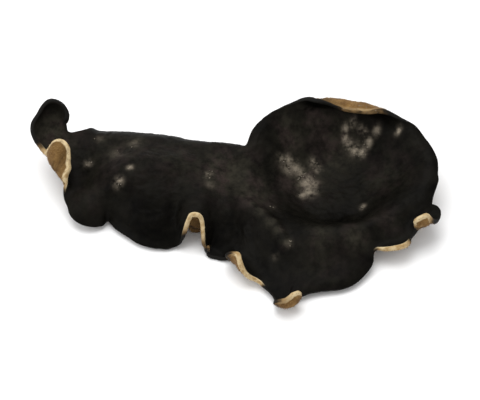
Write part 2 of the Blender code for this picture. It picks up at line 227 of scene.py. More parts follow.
# Round patches of bloom on the upper side. Some are painted light: highlights along the ridge from the waist
# to the flap and along the dish's front ridge, and lighter patches on the knob and on the dish's shaded back
# wall.
BLOOM_AND_HIGHLIGHT_SPOTS = (
    Spot(-28.0, 7.0, 10.0, 0.50), Spot(-14.0, 4.0, 9.0, 0.50), Spot(-3.0, 1.0, 8.0, 1.0),
    Spot(3.0, -3.0, 5.5, 1.0), Spot(15.0, 4.5, 6.0, 1.0), Spot(25.0, 13.0, 7.0, 1.0),
    Spot(13.0, 13.0, 4.0, 1.0), Spot(20.0, 16.5, 5.0, 1.0), Spot(22.0, 3.0, 6.0, 0.3),
    Spot(36.0, 4.0, 8.0, 0.42), Spot(20.0, -18.0, 3.5, 0.75), Spot(28.0, -18.0, 3.5, 0.8),
    Spot(36.0, -13.0, 4.5, 0.4), Spot(20.0, -24.0, 7.0, 0.3), Spot(-36.0, -4.0, 6.0, 0.25),
    Spot(-45.4, 13.0, 6.0, 1.0), Spot(1.2, -5.0, 1.8, 0.9), Spot(3.0, -7.2, 1.6, 1.0),
    Spot(5.2, -10.2, 1.6, 1.0), Spot(7.7, -13.6, 1.6, 1.0), Spot(9.7, -16.1, 1.6, 0.9),
    Spot(11.7, -19.2, 1.6, 0.8),
)
DUST_SPOTS = (
    Spot(10.9, 7.1, 1.1, 0.6), Spot(12.6, 7.9, 1.1, 0.7), Spot(12.1, 6.2, 1.5, 0.66),
    Spot(14.0, 6.6, 1.5, 0.66), Spot(15.6, 5.9, 1.4, 0.6), Spot(18.4, 9.2, 1.0, 0.55),
    Spot(19.6, 7.8, 1.0, 0.5), Spot(16.8, 4.2, 1.8, 0.72), Spot(18.3, 3.0, 1.5, 0.66),
    Spot(17.5, 1.0, 1.7, 0.66), Spot(16.0, 0.0, 1.2, 0.6), Spot(26.4, 15.6, 0.7, 1.0),
    Spot(26.4, 14.1, 0.7, 1.0), Spot(27.3, 12.8, 0.9, 1.0), Spot(28.8, 11.7, 1.0, 1.0),
    Spot(30.6, 10.9, 0.9, 1.0), Spot(28.3, 16.2, 0.7, 0.9), Spot(30.1, 14.9, 0.6, 0.7),
    Spot(32.2, 12.2, 0.8, 0.9), Spot(31.3, 14.1, 0.6, 0.7), Spot(34.1, 13.6, 0.8, 0.9),
    Spot(39.4, 11.8, 0.7, 0.9), Spot(-26.5, -0.4, 0.7, 0.8), Spot(-29.3, -3.5, 1.0, 0.9),
    Spot(-37.0, 5.5, 1.0, 0.4), Spot(-34.2, 12.0, 1.0, 0.15), Spot(-25.4, 9.0, 1.6, 0.18),
    Spot(-30.0, 6.0, 1.8, 0.14), Spot(-7.4, -0.7, 1.0, 0.45), Spot(-7.0, -4.0, 1.3, 0.16),
    Spot(30.5, -4.3, 0.7, 0.6), Spot(12.1, -19.6, 0.9, 0.18), Spot(8.9, -22.0, 0.8, 0.14),
    Spot(8.1, -7.0, 0.8, 0.15),
)
STRAY_SPOTS = (
    Spot(27.0, 13.6, 1.0, 1.0), Spot(29.4, 11.4, 0.9, 1.0), Spot(31.6, 12.6, 0.9, 1.0),
    Spot(34.1, 13.6, 0.8, 0.8), Spot(39.4, 11.8, 0.6, 0.8), Spot(-26.5, -0.4, 0.6, 1.0),
    Spot(-29.3, -3.5, 0.8, 1.0), Spot(-37.0, 5.5, 0.9, 0.8), Spot(-7.4, -0.7, 1.0, 0.6),
    Spot(30.5, -4.3, 0.6, 0.8), Spot(12.1, -19.6, 0.8, 0.7),
)

# Painted shade: the felt of the lower side is painted darker brown in these hollows, inside the left curl
# and the pleat, where shade falls.
PAINTED_SHADE_SPOTS = (Spot(-42.5, 8.0, 4.5, 0.9), Spot(-41.0, 4.0, 4.5, 0.9), Spot(-10.6, -11.0, 2.5, 0.7))


def unit(vectors: np.ndarray) -> np.ndarray:
    """Bring the vectors in the last axis to length one."""
    return vectors / np.linalg.norm(vectors, axis=-1, keepdims=True)


def smooth_step(values: np.ndarray, low: float, high: float) -> np.ndarray:
    """Ease from 0, up to the low value, to 1, from the high value on."""
    share = np.clip((values - low) / (high - low), 0.0, 1.0)
    return share ** 2 * (3 - 2 * share)


class ThinPlate:
    """A smooth height through scattered points."""

    def __init__(self, points: np.ndarray) -> None:
        """Fit the plate.

        Args:
            points: Rows of x, y and height.
        """
        self.places = points[:, :2]
        count = len(points)
        gaps = np.linalg.norm(self.places[:, None] - self.places[None], axis=2)
        flat = np.hstack([np.ones((count, 1)), self.places])
        system = np.block([[self.kernel(gaps), flat], [flat.T, np.zeros((3, 3))]])
        self.weights = np.linalg.solve(system, np.append(points[:, 2], np.zeros(3)))

    @staticmethod
    def kernel(distance: np.ndarray) -> np.ndarray:
        """Give the thin plate's own spline of the distance, r^2 log r."""
        return np.where(distance > 0.0, distance ** 2 * np.log(np.maximum(distance, NEARLY_ZERO)), 0.0)

    def height(self, places: np.ndarray) -> np.ndarray:
        """Give the height at places, which are x and y in the last axis."""
        gaps = np.linalg.norm(places[..., None, :] - self.places, axis=-1)
        return self.kernel(gaps) @ self.weights[:-3] + self.weights[-3] + places @ self.weights[-2:]


@dataclass
class SheetForm:
    """The sheet's shape, before it has any thickness or fine relief."""

    thickness: float = 1.3          # of the dried sheet
    margin_thinning: float = 0.95   # thickness at the cut margin, as a share of the sheet's
    level_radius: float = 6.0       # the sheet is level over the stub this far out
    cells_along: int = 58           # coarse cells from the left end to the right end
    cells_across: int = 26          # coarse cells from the front margin to the back margin
    fineness: int = 4               # fine cells in each coarse one, both ways
    margin_steps: int = 14          # fine cells across the rolled margin
    smoothing_passes: int = 400     # evens out the coarse cells
    fine_passes: int = 60           # evens out each finer set
    curve_steps: int = 24           # points on the margin's curve between two named places
    settling: float = 0.3           # how softly the sheet meets the ground it lies on
    settling_reach: float = 20.0    # times settling, past which the ground isn't felt
    slope_step: float = 0.4         # either way, over which the sheet's slope is read
    small_turn: float = 0.02        # radians, a margin that turns less is as good as straight

    def __post_init__(self) -> None:
        """Fit the plate through the named heights."""
        self.plate = ThinPlate(np.array([place[:3] for place in MARGIN + HEIGHTS]))

    def settled(self, height: np.ndarray, lowest: float) -> np.ndarray:
        """Lay heights softly on the lowest one that the ground allows.

        Args:
            height: Heights to lay down.
            lowest: The lowest height.

        Returns:
            Heights that are never under the lowest.
        """
        above = np.clip((height - lowest) / self.settling, -self.settling_reach, self.settling_reach)
        soft = lowest + self.settling * np.log1p(np.exp(above))
        return np.where(above < self.settling_reach, soft, height)

    def fold_rise(self, fold: Fold, places: np.ndarray) -> np.ndarray:
        """Give how far a fold lifts the sheet.

        Args:
            fold: The ridge or crease.
            places: Places of x and y in the last axis.

        Returns:
            The lift at each place.
        """
        nearest = np.full(places.shape[:-1], np.inf)
        lift = np.zeros(places.shape[:-1])
        for start, end in zip(fold.places[:-1], fold.places[1:]):
            run = np.subtract(end[:2], start[:2])
            share = np.clip((places - start[:2]) @ run / (run @ run), 0.0, 1.0)
            away = np.linalg.norm(places - start[:2] - share[..., None] * run, axis=-1)
            closer = away < nearest
            nearest = np.where(closer, away, nearest)
            lift = np.where(closer, start[2] + share * (end[2] - start[2]), lift)
        return lift * np.exp(-(nearest / fold.half_width) ** fold.squareness)

    def height(self, places: np.ndarray) -> np.ndarray:
        """Give the upper side's height: the plate and its folds, level over the stub.

        Args:
            places: Places of x and y in the last axis.

        Returns:
            The heights.
        """
        away = np.linalg.norm(places, axis=-1)
        blend = smooth_step(away, 0.0, self.level_radius)
        height = self.plate.height(places) + sum(self.fold_rise(fold, places) for fold in FOLDS)
        height = height * blend + self.plate.height(np.zeros(2)) * (1 - blend)
        return self.settled(height, self.thickness)

    def margin_curve(self) -> np.ndarray:
        """Lay a round curve through the margin's named places.

        Returns:
            Rows as in MARGIN, closely spaced along the curve.
        """
        table = np.array(MARGIN)
        before, start, end, after = (np.roll(table, shift, axis=0) for shift in (1, 0, -1, -2))
        curve = []
        for part in np.arange(self.curve_steps) / self.curve_steps:
            curve.append(0.5 * (2 * start + (end - before) * part
                                + (2 * before - 5 * start + 4 * end - after) * part ** 2
                                + (3 * start - before - 3 * end + after) * part ** 3))
        return np.stack(curve, axis=1).reshape(-1, table.shape[1])

    def margin_thickness(self, share: float) -> float:
        """Give the thickness, as a share of the sheet's, this share of the way across the margin."""
        return 1 - (1 - self.margin_thinning) * share

    def rolled_margin(self, margin: np.ndarray, steps: int) -> list[np.ndarray]:
        """Roll the margin by each place's own width and turn.

        Args:
            margin: Rows as in MARGIN, round the sheet.
            steps: Loops of points across the margin.

        Returns:
            The loops, from the inner one to the cut edge.
        """
        places = margin[:, :2]
        tangent = unit(np.roll(places, -1, axis=0) - np.roll(places, 1, axis=0))
        outward = np.column_stack([tangent[:, 1], -tangent[:, 0]])
        ahead = self.height(places + outward * self.slope_step)
        behind = self.height(places - outward * self.slope_step)
        rise = ((ahead - behind) / (2 * self.slope_step))[:, None]
        out = unit(np.hstack([outward, rise]))
        upward = unit(np.hstack([-rise * outward, np.ones_like(rise)]))
        width = margin[:, WIDTH]
        turn = np.radians(margin[:, TURN])
        turn = np.where(np.abs(turn) < self.small_turn, self.small_turn, turn)
        start = np.column_stack([places, self.height(places)])
        loops = []
        for step in range(1, steps + 1):
            bent = turn * step / steps
            reach = (width / turn * np.sin(bent))[:, None]
            lift = (width / turn * (1 - np.cos(bent)))[:, None]
            loop = start + reach * out + lift * upward
            loop[:, 2] = self.settled(loop[:, 2], self.thickness * self.margin_thickness(step / steps))
            loops.append(loop)
        return loops

    def around_margin(self, fineness: int) -> np.ndarray:
        """Spread the margin's places evenly between the corners.

        Args:
            fineness: Fine cells in each coarse one.

        Returns:
            Rows as in MARGIN, one for each of the grid's outer nodes.
        """
        curve = self.margin_curve()
        start = np.column_stack([curve[:, :2], self.height(curve[:, :2])])
        edge = self.rolled_margin(curve, 1)[0]
        effort = (np.linalg.norm(np.roll(start, -1, axis=0) - start, axis=1)
                  + np.linalg.norm(np.roll(edge, -1, axis=0) - edge, axis=1))
        sides = ((FRONT_LEFT_CORNER, FRONT_RIGHT_CORNER, self.cells_along),
                 (FRONT_RIGHT_CORNER, BACK_RIGHT_CORNER, self.cells_across),
                 (BACK_RIGHT_CORNER, BACK_LEFT_CORNER, self.cells_along),
                 (BACK_LEFT_CORNER, len(MARGIN), self.cells_across))
        rows = []
        for first, last, cells in sides:
            stretch = np.arange(first * self.curve_steps, last * self.curve_steps + 1) % len(curve)
            travelled = np.append(0.0, np.cumsum(effort[stretch[:-1]]))
            stations = np.linspace(0.0, travelled[-1], cells * fineness + 1)[:-1]
            rows.append(np.column_stack([np.interp(stations, travelled, column)
                                         for column in curve[stretch].T]))
        return np.vstack(rows)

    def ring(self, fineness: int) -> np.ndarray:
        """Find the grid's outer nodes, in the margin's order.

        Args:
            fineness: Fine cells in each coarse one.

        Returns:
            Each node's number along and across the grid.
        """
        along = self.cells_along * fineness
        across = self.cells_across * fineness
        front = [(step, 0) for step in range(along)]
        right = [(along, step) for step in range(across)]
        back = [(along - step, across) for step in range(along)]
        left = [(0, across - step) for step in range(across)]
        return np.array(front + right + back + left)

    def coons_grid(self, margin: np.ndarray) -> np.ndarray:
        """Fill the coarse grid in between its four sides.

        Args:
            margin: Plan places of the outer nodes.

        Returns:
            Plan places of all nodes.
        """
        ring = self.ring(1)
        grid = np.zeros((self.cells_along + 1, self.cells_across + 1, 2))
        grid[ring[:, 0], ring[:, 1]] = margin
        along = np.linspace(0.0, 1.0, self.cells_along + 1)[:, None, None]
        across = np.linspace(0.0, 1.0, self.cells_across + 1)[None, :, None]
        between_ends = (1 - along) * grid[:1] + along * grid[-1:]
        between_edges = (1 - across) * grid[:, :1] + across * grid[:, -1:]
        corners = ((1 - along) * ((1 - across) * grid[0, 0] + across * grid[0, -1])
                   + along * ((1 - across) * grid[-1, 0] + across * grid[-1, -1]))
        return between_ends + between_edges - corners

    @staticmethod
    def evened(grid: np.ndarray, passes: int) -> np.ndarray:
        """Even out a grid's cells without letting any fold over.

        Args:
            grid: Plan places of all nodes.
            passes: How often to go over it.

        Returns:
            The evened grid, with its outer nodes where they were.
        """
        for _ in range(passes):
            run = (grid[2:, 1:-1] - grid[:-2, 1:-1]) / 2
            rise = (grid[1:-1, 2:] - grid[1:-1, :-2]) / 2
            twist = (grid[2:, 2:] - grid[:-2, 2:] - grid[2:, :-2] + grid[:-2, :-2]) / 4
            run_size = np.sum(run * run, axis=-1, keepdims=True)
            rise_size = np.sum(rise * rise, axis=-1, keepdims=True)
            lean = np.sum(run * rise, axis=-1, keepdims=True)
            grid[1:-1, 1:-1] = ((rise_size * (grid[2:, 1:-1] + grid[:-2, 1:-1])
                                 + run_size * (grid[1:-1, 2:] + grid[1:-1, :-2]) - 2 * lean * twist)
                                / (2 * (run_size + rise_size)))
        return grid

    @staticmethod
    def doubled(grid: np.ndarray) -> np.ndarray:
        """Put a node between every two neighbours of a grid.

        Args:
            grid: Plan places of all nodes.

        Returns:
            The finer grid.
        """
        longer = np.empty((2 * grid.shape[0] - 1, grid.shape[1], 2))
        longer[::2] = grid
        longer[1::2] = (grid[1:] + grid[:-1]) / 2
        finer = np.empty((longer.shape[0], 2 * grid.shape[1] - 1, 2))
        finer[:, ::2] = longer
        finer[:, 1::2] = (longer[:, 1:] + longer[:, :-1]) / 2
        return finer

    def plan_grid(self) -> tuple[np.ndarray, np.ndarray]:
        """Lay out the fine grid in plan, from coarse to fine.

        Returns:
            Plan places of all nodes, and rows as in MARGIN for the outer ones.
        """
        margin = self.around_margin(1)
        grid = self.evened(self.coons_grid(margin[:, :2]), self.smoothing_passes)
        fineness = 1
        while fineness < self.fineness:
            fineness *= 2
            grid = self.doubled(grid)
            margin = self.around_margin(fineness)
            ring = self.ring(fineness)
            grid[ring[:, 0], ring[:, 1]] = margin[:, :2]
            grid = self.evened(grid, self.fine_passes)
        return grid, margin


def select_none() -> None:
    """Leave nothing selected, in object mode."""
    if bpy.context.mode != "OBJECT":
        bpy.ops.object.mode_set(mode="OBJECT")
    bpy.ops.object.select_all(action="DESELECT")


def make_active(piece: bpy.types.Object) -> None:
    """Select one object alone and make it the active one.

    Args:
        piece: The object.
    """
    select_none()
    piece.select_set(True)
    bpy.context.view_layer.objects.active = piece


def open_mesh(piece: bpy.types.Object, elements: str) -> bmesh.types.BMesh:
    """Open an object's mesh in edit mode, with nothing selected.

    Args:
        piece: The object.
        elements: What is going to be selected, "EDGE" or "FACE".

    Returns:
        The open mesh.
    """
    make_active(piece)
    bpy.ops.object.mode_set(mode="EDIT")
    bpy.ops.mesh.select_mode(type=elements)
    bpy.ops.mesh.select_all(action="DESELECT")
    return bmesh.from_edit_mesh(piece.data)


def apply_modifiers(piece: bpy.types.Object) -> None:
    """Apply all of an object's modifiers, in their order.

    Args:
        piece: The object.
    """
    make_active(piece)
    for name in [modifier.name for modifier in piece.modifiers]:
        bpy.ops.object.modifier_apply(modifier=name)


def read_points(mesh: bpy.types.Mesh) -> np.ndarray:
    """Read a mesh's points.

    Args:
        mesh: The mesh.

    Returns:
        A row for each point, in mm.
    """
    points = np.empty(len(mesh.vertices) * 3)
    mesh.vertices.foreach_get("co", points)
    return points.reshape(-1, 3) / MM


def write_points(mesh: bpy.types.Mesh, points: np.ndarray) -> None:
    """Write a mesh's points, given in mm."""
    mesh.vertices.foreach_set("co", (points * MM).ravel())
    mesh.update()


def read_normals(mesh: bpy.types.Mesh) -> np.ndarray:
    """Read which way the surface faces at a mesh's points.

    Args:
        mesh: The mesh.

    Returns:
        A direction for each point.
    """
    normals = np.empty(len(mesh.vertices) * 3)
    mesh.vertex_normals.foreach_get("vector", normals)
    return normals.reshape(-1, 3)


def in_order(triangles: np.ndarray) -> np.ndarray:
    """Put triangles and their corners in an order that follows from their places alone.

    Args:
        triangles: Three points for each triangle.

    Returns:
        The same triangles, in order.
    """
    first = (triangles @ RANKING).argmin(axis=1)
    corners = (first[:, None] + np.arange(3)) % 3
    turned = triangles[np.arange(len(triangles))[:, None], corners]
    return turned[np.lexsort(turned.reshape(-1, 9).T)]


def paint(mesh: bpy.types.Mesh, name: str, values: np.ndarray) -> None:
    """Keep one number for each of a mesh's points, for the materials to read by its name."""
    layer = mesh.attributes.new(name, "FLOAT", "POINT")
    layer.data.foreach_set("value", values.astype(np.float32))


def nearest(points: np.ndarray, targets: np.ndarray) -> tuple[np.ndarray, np.ndarray]:
    """Find the target that is nearest to each point.

    Args:
        points: Points, in mm.
        targets: Other points, in mm.

    Returns:
        The distances, and the nearest targets' numbers.
    """
    tree = KDTree(len(targets))
    for index, target in enumerate(targets):
        tree.insert(target, index)
    tree.balance()
    _, indices, distances = zip(*(tree.find(point) for point in points))
    return np.array(distances), np.array(indices)


def spotted(points: np.ndarray, spots: Sequence[Spot]) -> np.ndarray:
    """Give how much of something lies at each point, from its round patches.

    Args:
        points: Points, in mm.
        spots: The patches.

    Returns:
        Amounts of 0 to 1.
    """
    total = np.zeros(len(points))
    for spot in spots:
        away = np.linalg.norm(points[:, :2] - (spot.x, spot.y), axis=1) / spot.radius
        total = np.maximum(total, spot.strength * np.exp(-away ** 2))
    return total


def adopt(piece: bpy.types.Object) -> None:
    """Make a piece part of what stands for the ear's CAD node.

    Args:
        piece: The piece.
    """
    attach(piece, BODY)
    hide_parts(NODE)


def new_piece(name: str, points: np.ndarray, faces: np.ndarray,
              material: bpy.types.Material) -> bpy.types.Object:
    """Make a piece of many small things from points and triangles.

    Args:
        name: The piece's name.
        points: Its points, in mm.
        faces: Three point numbers for each triangle.
        material: Its material.

    Returns:
        The piece.
    """
    mesh = bpy.data.meshes.new(name)
    mesh.from_pydata(points * MM, [], faces.tolist())
    mesh.materials.append(material)
    piece = bpy.data.objects.new(name, mesh)
    bpy.context.scene.collection.objects.link(piece)
    adopt(piece)
    return piece


class Waves(NamedTuple):
    """Smooth, uneven waves that run every way."""

    height: float
    length: float       # of the longest waves
    seed: float         # moves the pattern
    octaves: int = 2    # how many finer sets of waves are laid over it

    def read(self, points: np.ndarray) -> np.ndarray:
        """Read the waves at points.

        Args:
            points: Points, in mm.

        Returns:
            Values between about minus and plus the height.
        """
        shift = Vector((self.seed, -self.seed, 2 * self.seed))
        return self.height * np.array([
            noise.fractal(Vector(point) / self.length + shift, FINER_HEIGHT, FINER_LENGTH, self.octaves)
            for point in points])


@dataclass(frozen=True)
class Wrinkles:
    """Sharp wrinkles that run out from the middle, in patches."""

    seed: float
    width: float = 1.9
    stretch: float = 4.0            # their length over their width
    spokes: float = 9.0             # how closely they stand round the middle
    bend: float = 1.1               # how far they stray from straight
    bend_length: float = 7.0
    bend_seed: float = 3.0          # on top of the seed
    sharpness: float = 2.2          # how steeply they fall off to both sides
    patch_length: float = 12.0      # of the patches that have wrinkles
    patch_fade: float = 0.35        # how soft the patches' borders are
    patch_seed: float = 7.0         # on top of the seed
    calm_middle: float = 6.0        # wrinkles are weaker about this close to the middle
    middle: tuple[float, float] = (1.0, -2.0)

    def read(self, points: np.ndarray) -> np.ndarray:
        """Read the wrinkles at points.

        Args:
            points: Points, in mm.

        Returns:
            Values of 0 between wrinkles to 1 on their crests.
        """
        away = points[:, :2] - np.array(self.middle)
        reach = np.linalg.norm(away, axis=1)
        bearing = np.arctan2(away[:, 1], away[:, 0])
        pattern = np.column_stack([np.cos(bearing) * self.spokes, np.sin(bearing) * self.spokes,
                                   reach / (self.width * self.stretch)])
        bends = Waves(self.bend, self.bend_length, self.seed + self.bend_seed, octaves=3)
        pattern[:, :2] += bends.read(points)[:, None]
        crest = 1 - np.abs(Waves(self.sharpness, length=1.0, seed=self.seed).read(pattern))
        patches = Waves(1.0, self.patch_length, self.seed + self.patch_seed)
        patchy = smooth_step(patches.read(points), -self.patch_fade, self.patch_fade)
        strength = np.clip((reach + self.calm_middle) / self.width / self.calm_middle, 0.0, 1.0)
        return np.clip(crest, 0.0, 1.0) ** 2 * strength * patchy


@dataclass
class Relief:
    """The fine relief that drying left on the sheet."""

    buckles: Waves = Waves(0.30, 10.0, 1.7)         # soft and broad
    lumps: Waves = Waves(0.16, 3.4, 3.9)            # between the buckles
    puckers: Waves = Waves(0.08, 1.1, 8.3, 3)       # fine unevenness
    wrinkles: Wrinkles = Wrinkles(5.1)
    wrinkle_height: float = 0.15
    wrinkle_sink: float = 0.2       # share of their height by which the skin between them sinks
    edge_calm: float = 2.5          # the relief fades this close to the cut edge
    thinning: float = 0.12          # of the sheet from below, as a share of its thickness
    hollows: Waves = Waves(0.10, 2.4, 4.4)          # in that thinning
    veins: Wrinkles = Wrinkles(12.4)                # stand out below
    vein_height: float = 0.16       # as a share of the sheet's thickness
    most_thinning: float = 0.3

    def upper(self, points: np.ndarray, edge: np.ndarray) -> np.ndarray:
        """Give how far the upper side stands out.

        Args:
            points: Points, in mm.
            edge: Their distance to the cut edge.

        Returns:
            Heights along the surface's own direction.
        """
        high = self.buckles.read(points) + self.lumps.read(points)
        high += self.wrinkle_height * (self.wrinkles.read(points) - self.wrinkle_sink)
        high += self.puckers.read(points)
        return high * smooth_step(edge, 0.0, self.edge_calm)

    def lower(self, points: np.ndarray) -> np.ndarray:
        """Give how much thinner the sheet is from below, as a share of its thickness."""
        thinner = self.thinning + self.hollows.read(points) - self.vein_height * self.veins.read(points)
        return np.clip(thinner, 0.0, self.most_thinning)


@dataclass
class Stub:
    """The short stub the ear was cut from the wood by."""

    profile: tuple[tuple[float, float], ...] = ((3.2, 0.0), (3.1, 0.35), (3.5, 0.7), (4.6, 1.0))
    sides: int = 64
    rings: int = 11             # loops of points between its foot and its top
    cap_rings: int = 5          # loops of points across its top
    facing_up: float = 0.9      # upward share of a face's direction from which it is the top
    root_depth: float = 0.65    # how far below the sheet's upper side its top lies
    ripples: Waves = Waves(0.12, 2.6, 2.2)      # in its radius, as a share
    even_foot: float = 0.3      # share of its height over which they set in

    def build(self, form: SheetForm) -> bpy.types.Object:
        """Model the stub as a closed piece that reaches into the sheet.

        Args:
            form: The sheet it grows into.

        Returns:
            The stub, standing on the ground.
        """
        select_none()
        radius = self.profile[0][0]
        top = float(form.height(np.zeros((1, 2)))[0]) - self.root_depth
        bpy.ops.mesh.primitive_cylinder_add(vertices=self.sides, radius=radius * MM, depth=top * MM,
                                            location=(0.0, 0.0, top * MM / 2))
        stub = bpy.context.object
        bpy.ops.object.transform_apply(location=True, rotation=True, scale=True)
        for edge in open_mesh(stub, "EDGE").edges:
            low, high = sorted(vertex.co.z for vertex in edge.verts)
            edge.select_set(high - low > top * MM / 2)
        bpy.ops.mesh.subdivide(number_cuts=self.rings)
        for face in open_mesh(stub, "FACE").faces:
            face.select_set(face.normal.z > self.facing_up)
        for _ in range(self.cap_rings):
            bpy.ops.mesh.inset(thickness=radius * MM / (self.cap_rings + 1))
        bpy.ops.object.mode_set(mode="OBJECT")
        points = read_points(stub.data)
        share = points[:, 2] / top
        radii, shares = zip(*self.profile)
        uneven = 1 + self.ripples.read(points) * smooth_step(share, 0.0, self.even_foot)
        flare = np.interp(share, shares, radii) * uneven
        points[:, :2] *= (flare / radius)[:, None]
        points[:, 2] = share * (form.height(points[:, :2]) - self.root_depth)
        write_points(stub.data, points)
        return stub


@dataclass(frozen=True)
class Gather:
    """The soft gather of felt that closes the pleat from behind."""

    middle: float = -10.6                       # x of its middle
    half_width: float = 2.2
    squareness: int = 4                         # as a fold's
    front: tuple[float, float] = (-12.6, -11.4)   # y, over which it comes down to the ground
    back: tuple[float, float] = (-8.5, -5.5)      # y, over which it goes up again
    clearance: float = 0.5                      # between it and the ground

    def hang(self, points: np.ndarray) -> np.ndarray:
        """Draw the lower side down into the gather.

        Args:
            points: The lower side's points, in mm.

        Returns:
            The points, with those of the gather lowered.
        """
        across = np.exp(-((points[:, 0] - self.middle) / self.half_width) ** self.squareness)
        along = smooth_step(points[:, 1], *self.front) * (1 - smooth_step(points[:, 1], *self.back))
        share = across * along * (points[:, 2] > self.clearance)
        hung = points.copy()
        hung[:, 2] += share * (self.clearance - points[:, 2])
        return hung


@dataclass(frozen=True)
class BloomAndPaintedLight:
    """The greyish bloom of the upper side, partly painted light: it is painted only on parts that face up,
    so steep faces stay dark as painted shade, and some of its patches are painted highlights.
    """

    spots: tuple[Spot, ...] = BLOOM_AND_HIGHLIGHT_SPOTS
    steep: float = 0.10     # upward share of the surface's direction at which none lies
    level: float = 0.80     # the share from which all of it lies

    def amount(self, points: np.ndarray, upward: np.ndarray) -> np.ndarray:
        """Give how much bloom and painted light lies at each point: lighter where the surface faces up and
        none where it is steep, which leaves steep faces dark as painted shade.
        """
        return spotted(points, self.spots) * smooth_step(upward, self.steep, self.level)


@dataclass
class FruitingBody:
    """The whole ear: its sheet, its rolled margins and its stub, as one piece."""

    form: SheetForm
    relief: Relief
    stub: Stub
    gather: Gather
    bloom_and_painted_light: BloomAndPaintedLight
    wall: float = 1.45              # greatest thickness of the sheet, from which the lower side is cut
    fullness: float = 1.08          # thickness before the lower side's relief, as a share of the sheet's
    thin_margin: float = 5.0        # the sheet thins towards its cut edge over this width
    waver: Waves = Waves(0.07, 4.0, 6.6, 3)     # in the margin's width, as a share
    rim_strips: int = 7             # rows of faces across the cut edge
    rim_bulge: float = 0.30         # how far the cut edge stands out in its middle
    ground_gap: float = 0.02        # between the lowest skin and the ground
    ground_calm: float = 1.2        # the relief fades this close to the ground
    sunk: float = 1.0               # skin that came this far under the ground is laid on it without a gap
    stub_core: float = 3.6          # the stub's own colour is full this far from its middle
    stub_reach: float = 5.4         # and has faded out here
    stub_top: float = 5.0           # height that the stub stays below

    def __post_init__(self) -> None:
        """Lay the sheet out in plan and roll its margin, a little wider and narrower along its way."""
        self.grid, self.margin = self.form.plan_grid()
        uneven = self.margin.copy()
        uneven[:, WIDTH] *= 1 + self.waver.read(self.margin[:, :3])
        self.loops = self.form.rolled_margin(uneven, self.form.margin_steps)
        self.edge = self.loops[-1]

    def sheet(self) -> bpy.types.Object:
        """Model the upper side: a grid laid over the plan, and the margins pulled out from its sides.

        Returns:
            The sheet.
        """
        along, across = self.grid.shape[0] - 1, self.grid.shape[1] - 1
        select_none()
        bpy.ops.mesh.primitive_grid_add(x_subdivisions=along, y_subdivisions=across, size=1.0)
        ear = bpy.context.object
        ear.name = ear.data.name = "ear"
        flat = read_points(ear.data) * MM + 0.5
        steps = np.rint(flat[:, :2] * (along, across)).astype(int)
        places = self.grid[steps[:, 0], steps[:, 1]]
        write_points(ear.data, np.column_stack([places, self.form.height(places)]))
        order = np.full((along + 1, across + 1), -1)
        ring = self.form.ring(self.form.fineness)
        order[ring[:, 0], ring[:, 1]] = np.arange(len(ring))
        self.pull_margins(ear, order[steps[:, 0], steps[:, 1]])
        return ear

    def pull_margins(self, ear: bpy.types.Object, order: np.ndarray) -> None:
        """Extrude the sheet's sides outwards, one loop of the margin at a time.

        Args:
            ear: The sheet.
            order: Each vertex's number round the sides, or -1 inside them.
        """
        open_mesh(ear, "EDGE")
        bpy.ops.mesh.select_all(action="SELECT")
        bpy.ops.mesh.region_to_loop()
        places = {index: int(place) for index, place in enumerate(order) if place >= 0}
        for loop in self.loops:
            bpy.ops.mesh.extrude_region_move()
            shape = bmesh.from_edit_mesh(ear.data)
            shape.verts.ensure_lookup_table()
            shape.verts.index_update()
            new_places = {}
            for vertex in shape.verts:
                if vertex.select:
                    parent = next(edge.other_vert(vertex) for edge in vertex.link_edges
                                  if not edge.other_vert(vertex).select)
                    new_places[vertex.index] = places[parent.index]
                    vertex.co = Vector(loop[places[parent.index]]) * MM
            places = new_places
            bmesh.update_edit_mesh(ear.data)
        bpy.ops.object.mode_set(mode="OBJECT")

    def prepare(self, ear: bpy.types.Object) -> None:
        """Write at each point how thick the sheet is and how its relief will move it.

        Args:
            ear: The sheet.
        """
        mesh = ear.data
        points = read_points(mesh)
        away, _ = nearest(points, self.edge)
        raised = points + read_normals(mesh) * self.relief.upper(points, away)[:, None]
        thinning = 1 - (1 - self.form.margin_thinning) * (1 - smooth_step(away, 0.0, self.thin_margin))
        share = (self.form.thickness / self.wall) * thinning * (self.fullness - self.relief.lower(points))
        group = ear.vertex_groups.new(name="thickness")
        for index, value in enumerate(np.clip(share, 0.0, 1.0)):
            group.add([index], float(value), "REPLACE")
        layer = mesh.attributes.new("relief", "FLOAT_VECTOR", "POINT")
        layer.data.foreach_set("vector", (raised - points).ravel().astype(np.float32))

    def thicken(self, ear: bpy.types.Object) -> None:
        """Give the sheet its lower side and its cut edge.

        Args:
            ear: The sheet.
        """
        upper_count = len(ear.data.vertices)
        solid = ear.modifiers.new("wall", "SOLIDIFY")
        solid.thickness = self.wall * MM
        solid.offset = -1.0
        solid.vertex_group = "thickness"
        solid.use_quality_normals = True
        solid.material_offset = Side.LOWER
        solid.material_offset_rim = Side.RIM
        apply_modifiers(ear)
        paint(ear.data, "depth", (np.arange(len(ear.data.vertices)) >= upper_count).astype(float))
        points = read_points(ear.data)
        points[upper_count:] = self.gather.hang(points[upper_count:])
        write_points(ear.data, points)

    def round_rim(self, ear: bpy.types.Object) -> None:
        """Divide the cut edge into strips and push them outwards to a round.

        Args:
            ear: The sheet, with its cut edge.
        """
        for edge in open_mesh(ear, "EDGE").edges:
            edge.select_set(all(face.material_index == Side.RIM for face in edge.link_faces))
        bpy.ops.mesh.subdivide(number_cuts=self.rim_strips - 1)
        bpy.ops.object.mode_set(mode="OBJECT")
        mesh = ear.data
        depth = np.empty(len(mesh.vertices), dtype=np.float32)
        mesh.attributes["depth"].data.foreach_get("value", depth)
        bulge = self.rim_bulge * np.sqrt(np.clip(1 - (2 * depth - 1) ** 2, 0.0, 1.0))
        write_points(mesh, read_points(mesh) + read_normals(mesh) * bulge[:, None])
        mesh.attributes.remove(mesh.attributes["depth"])

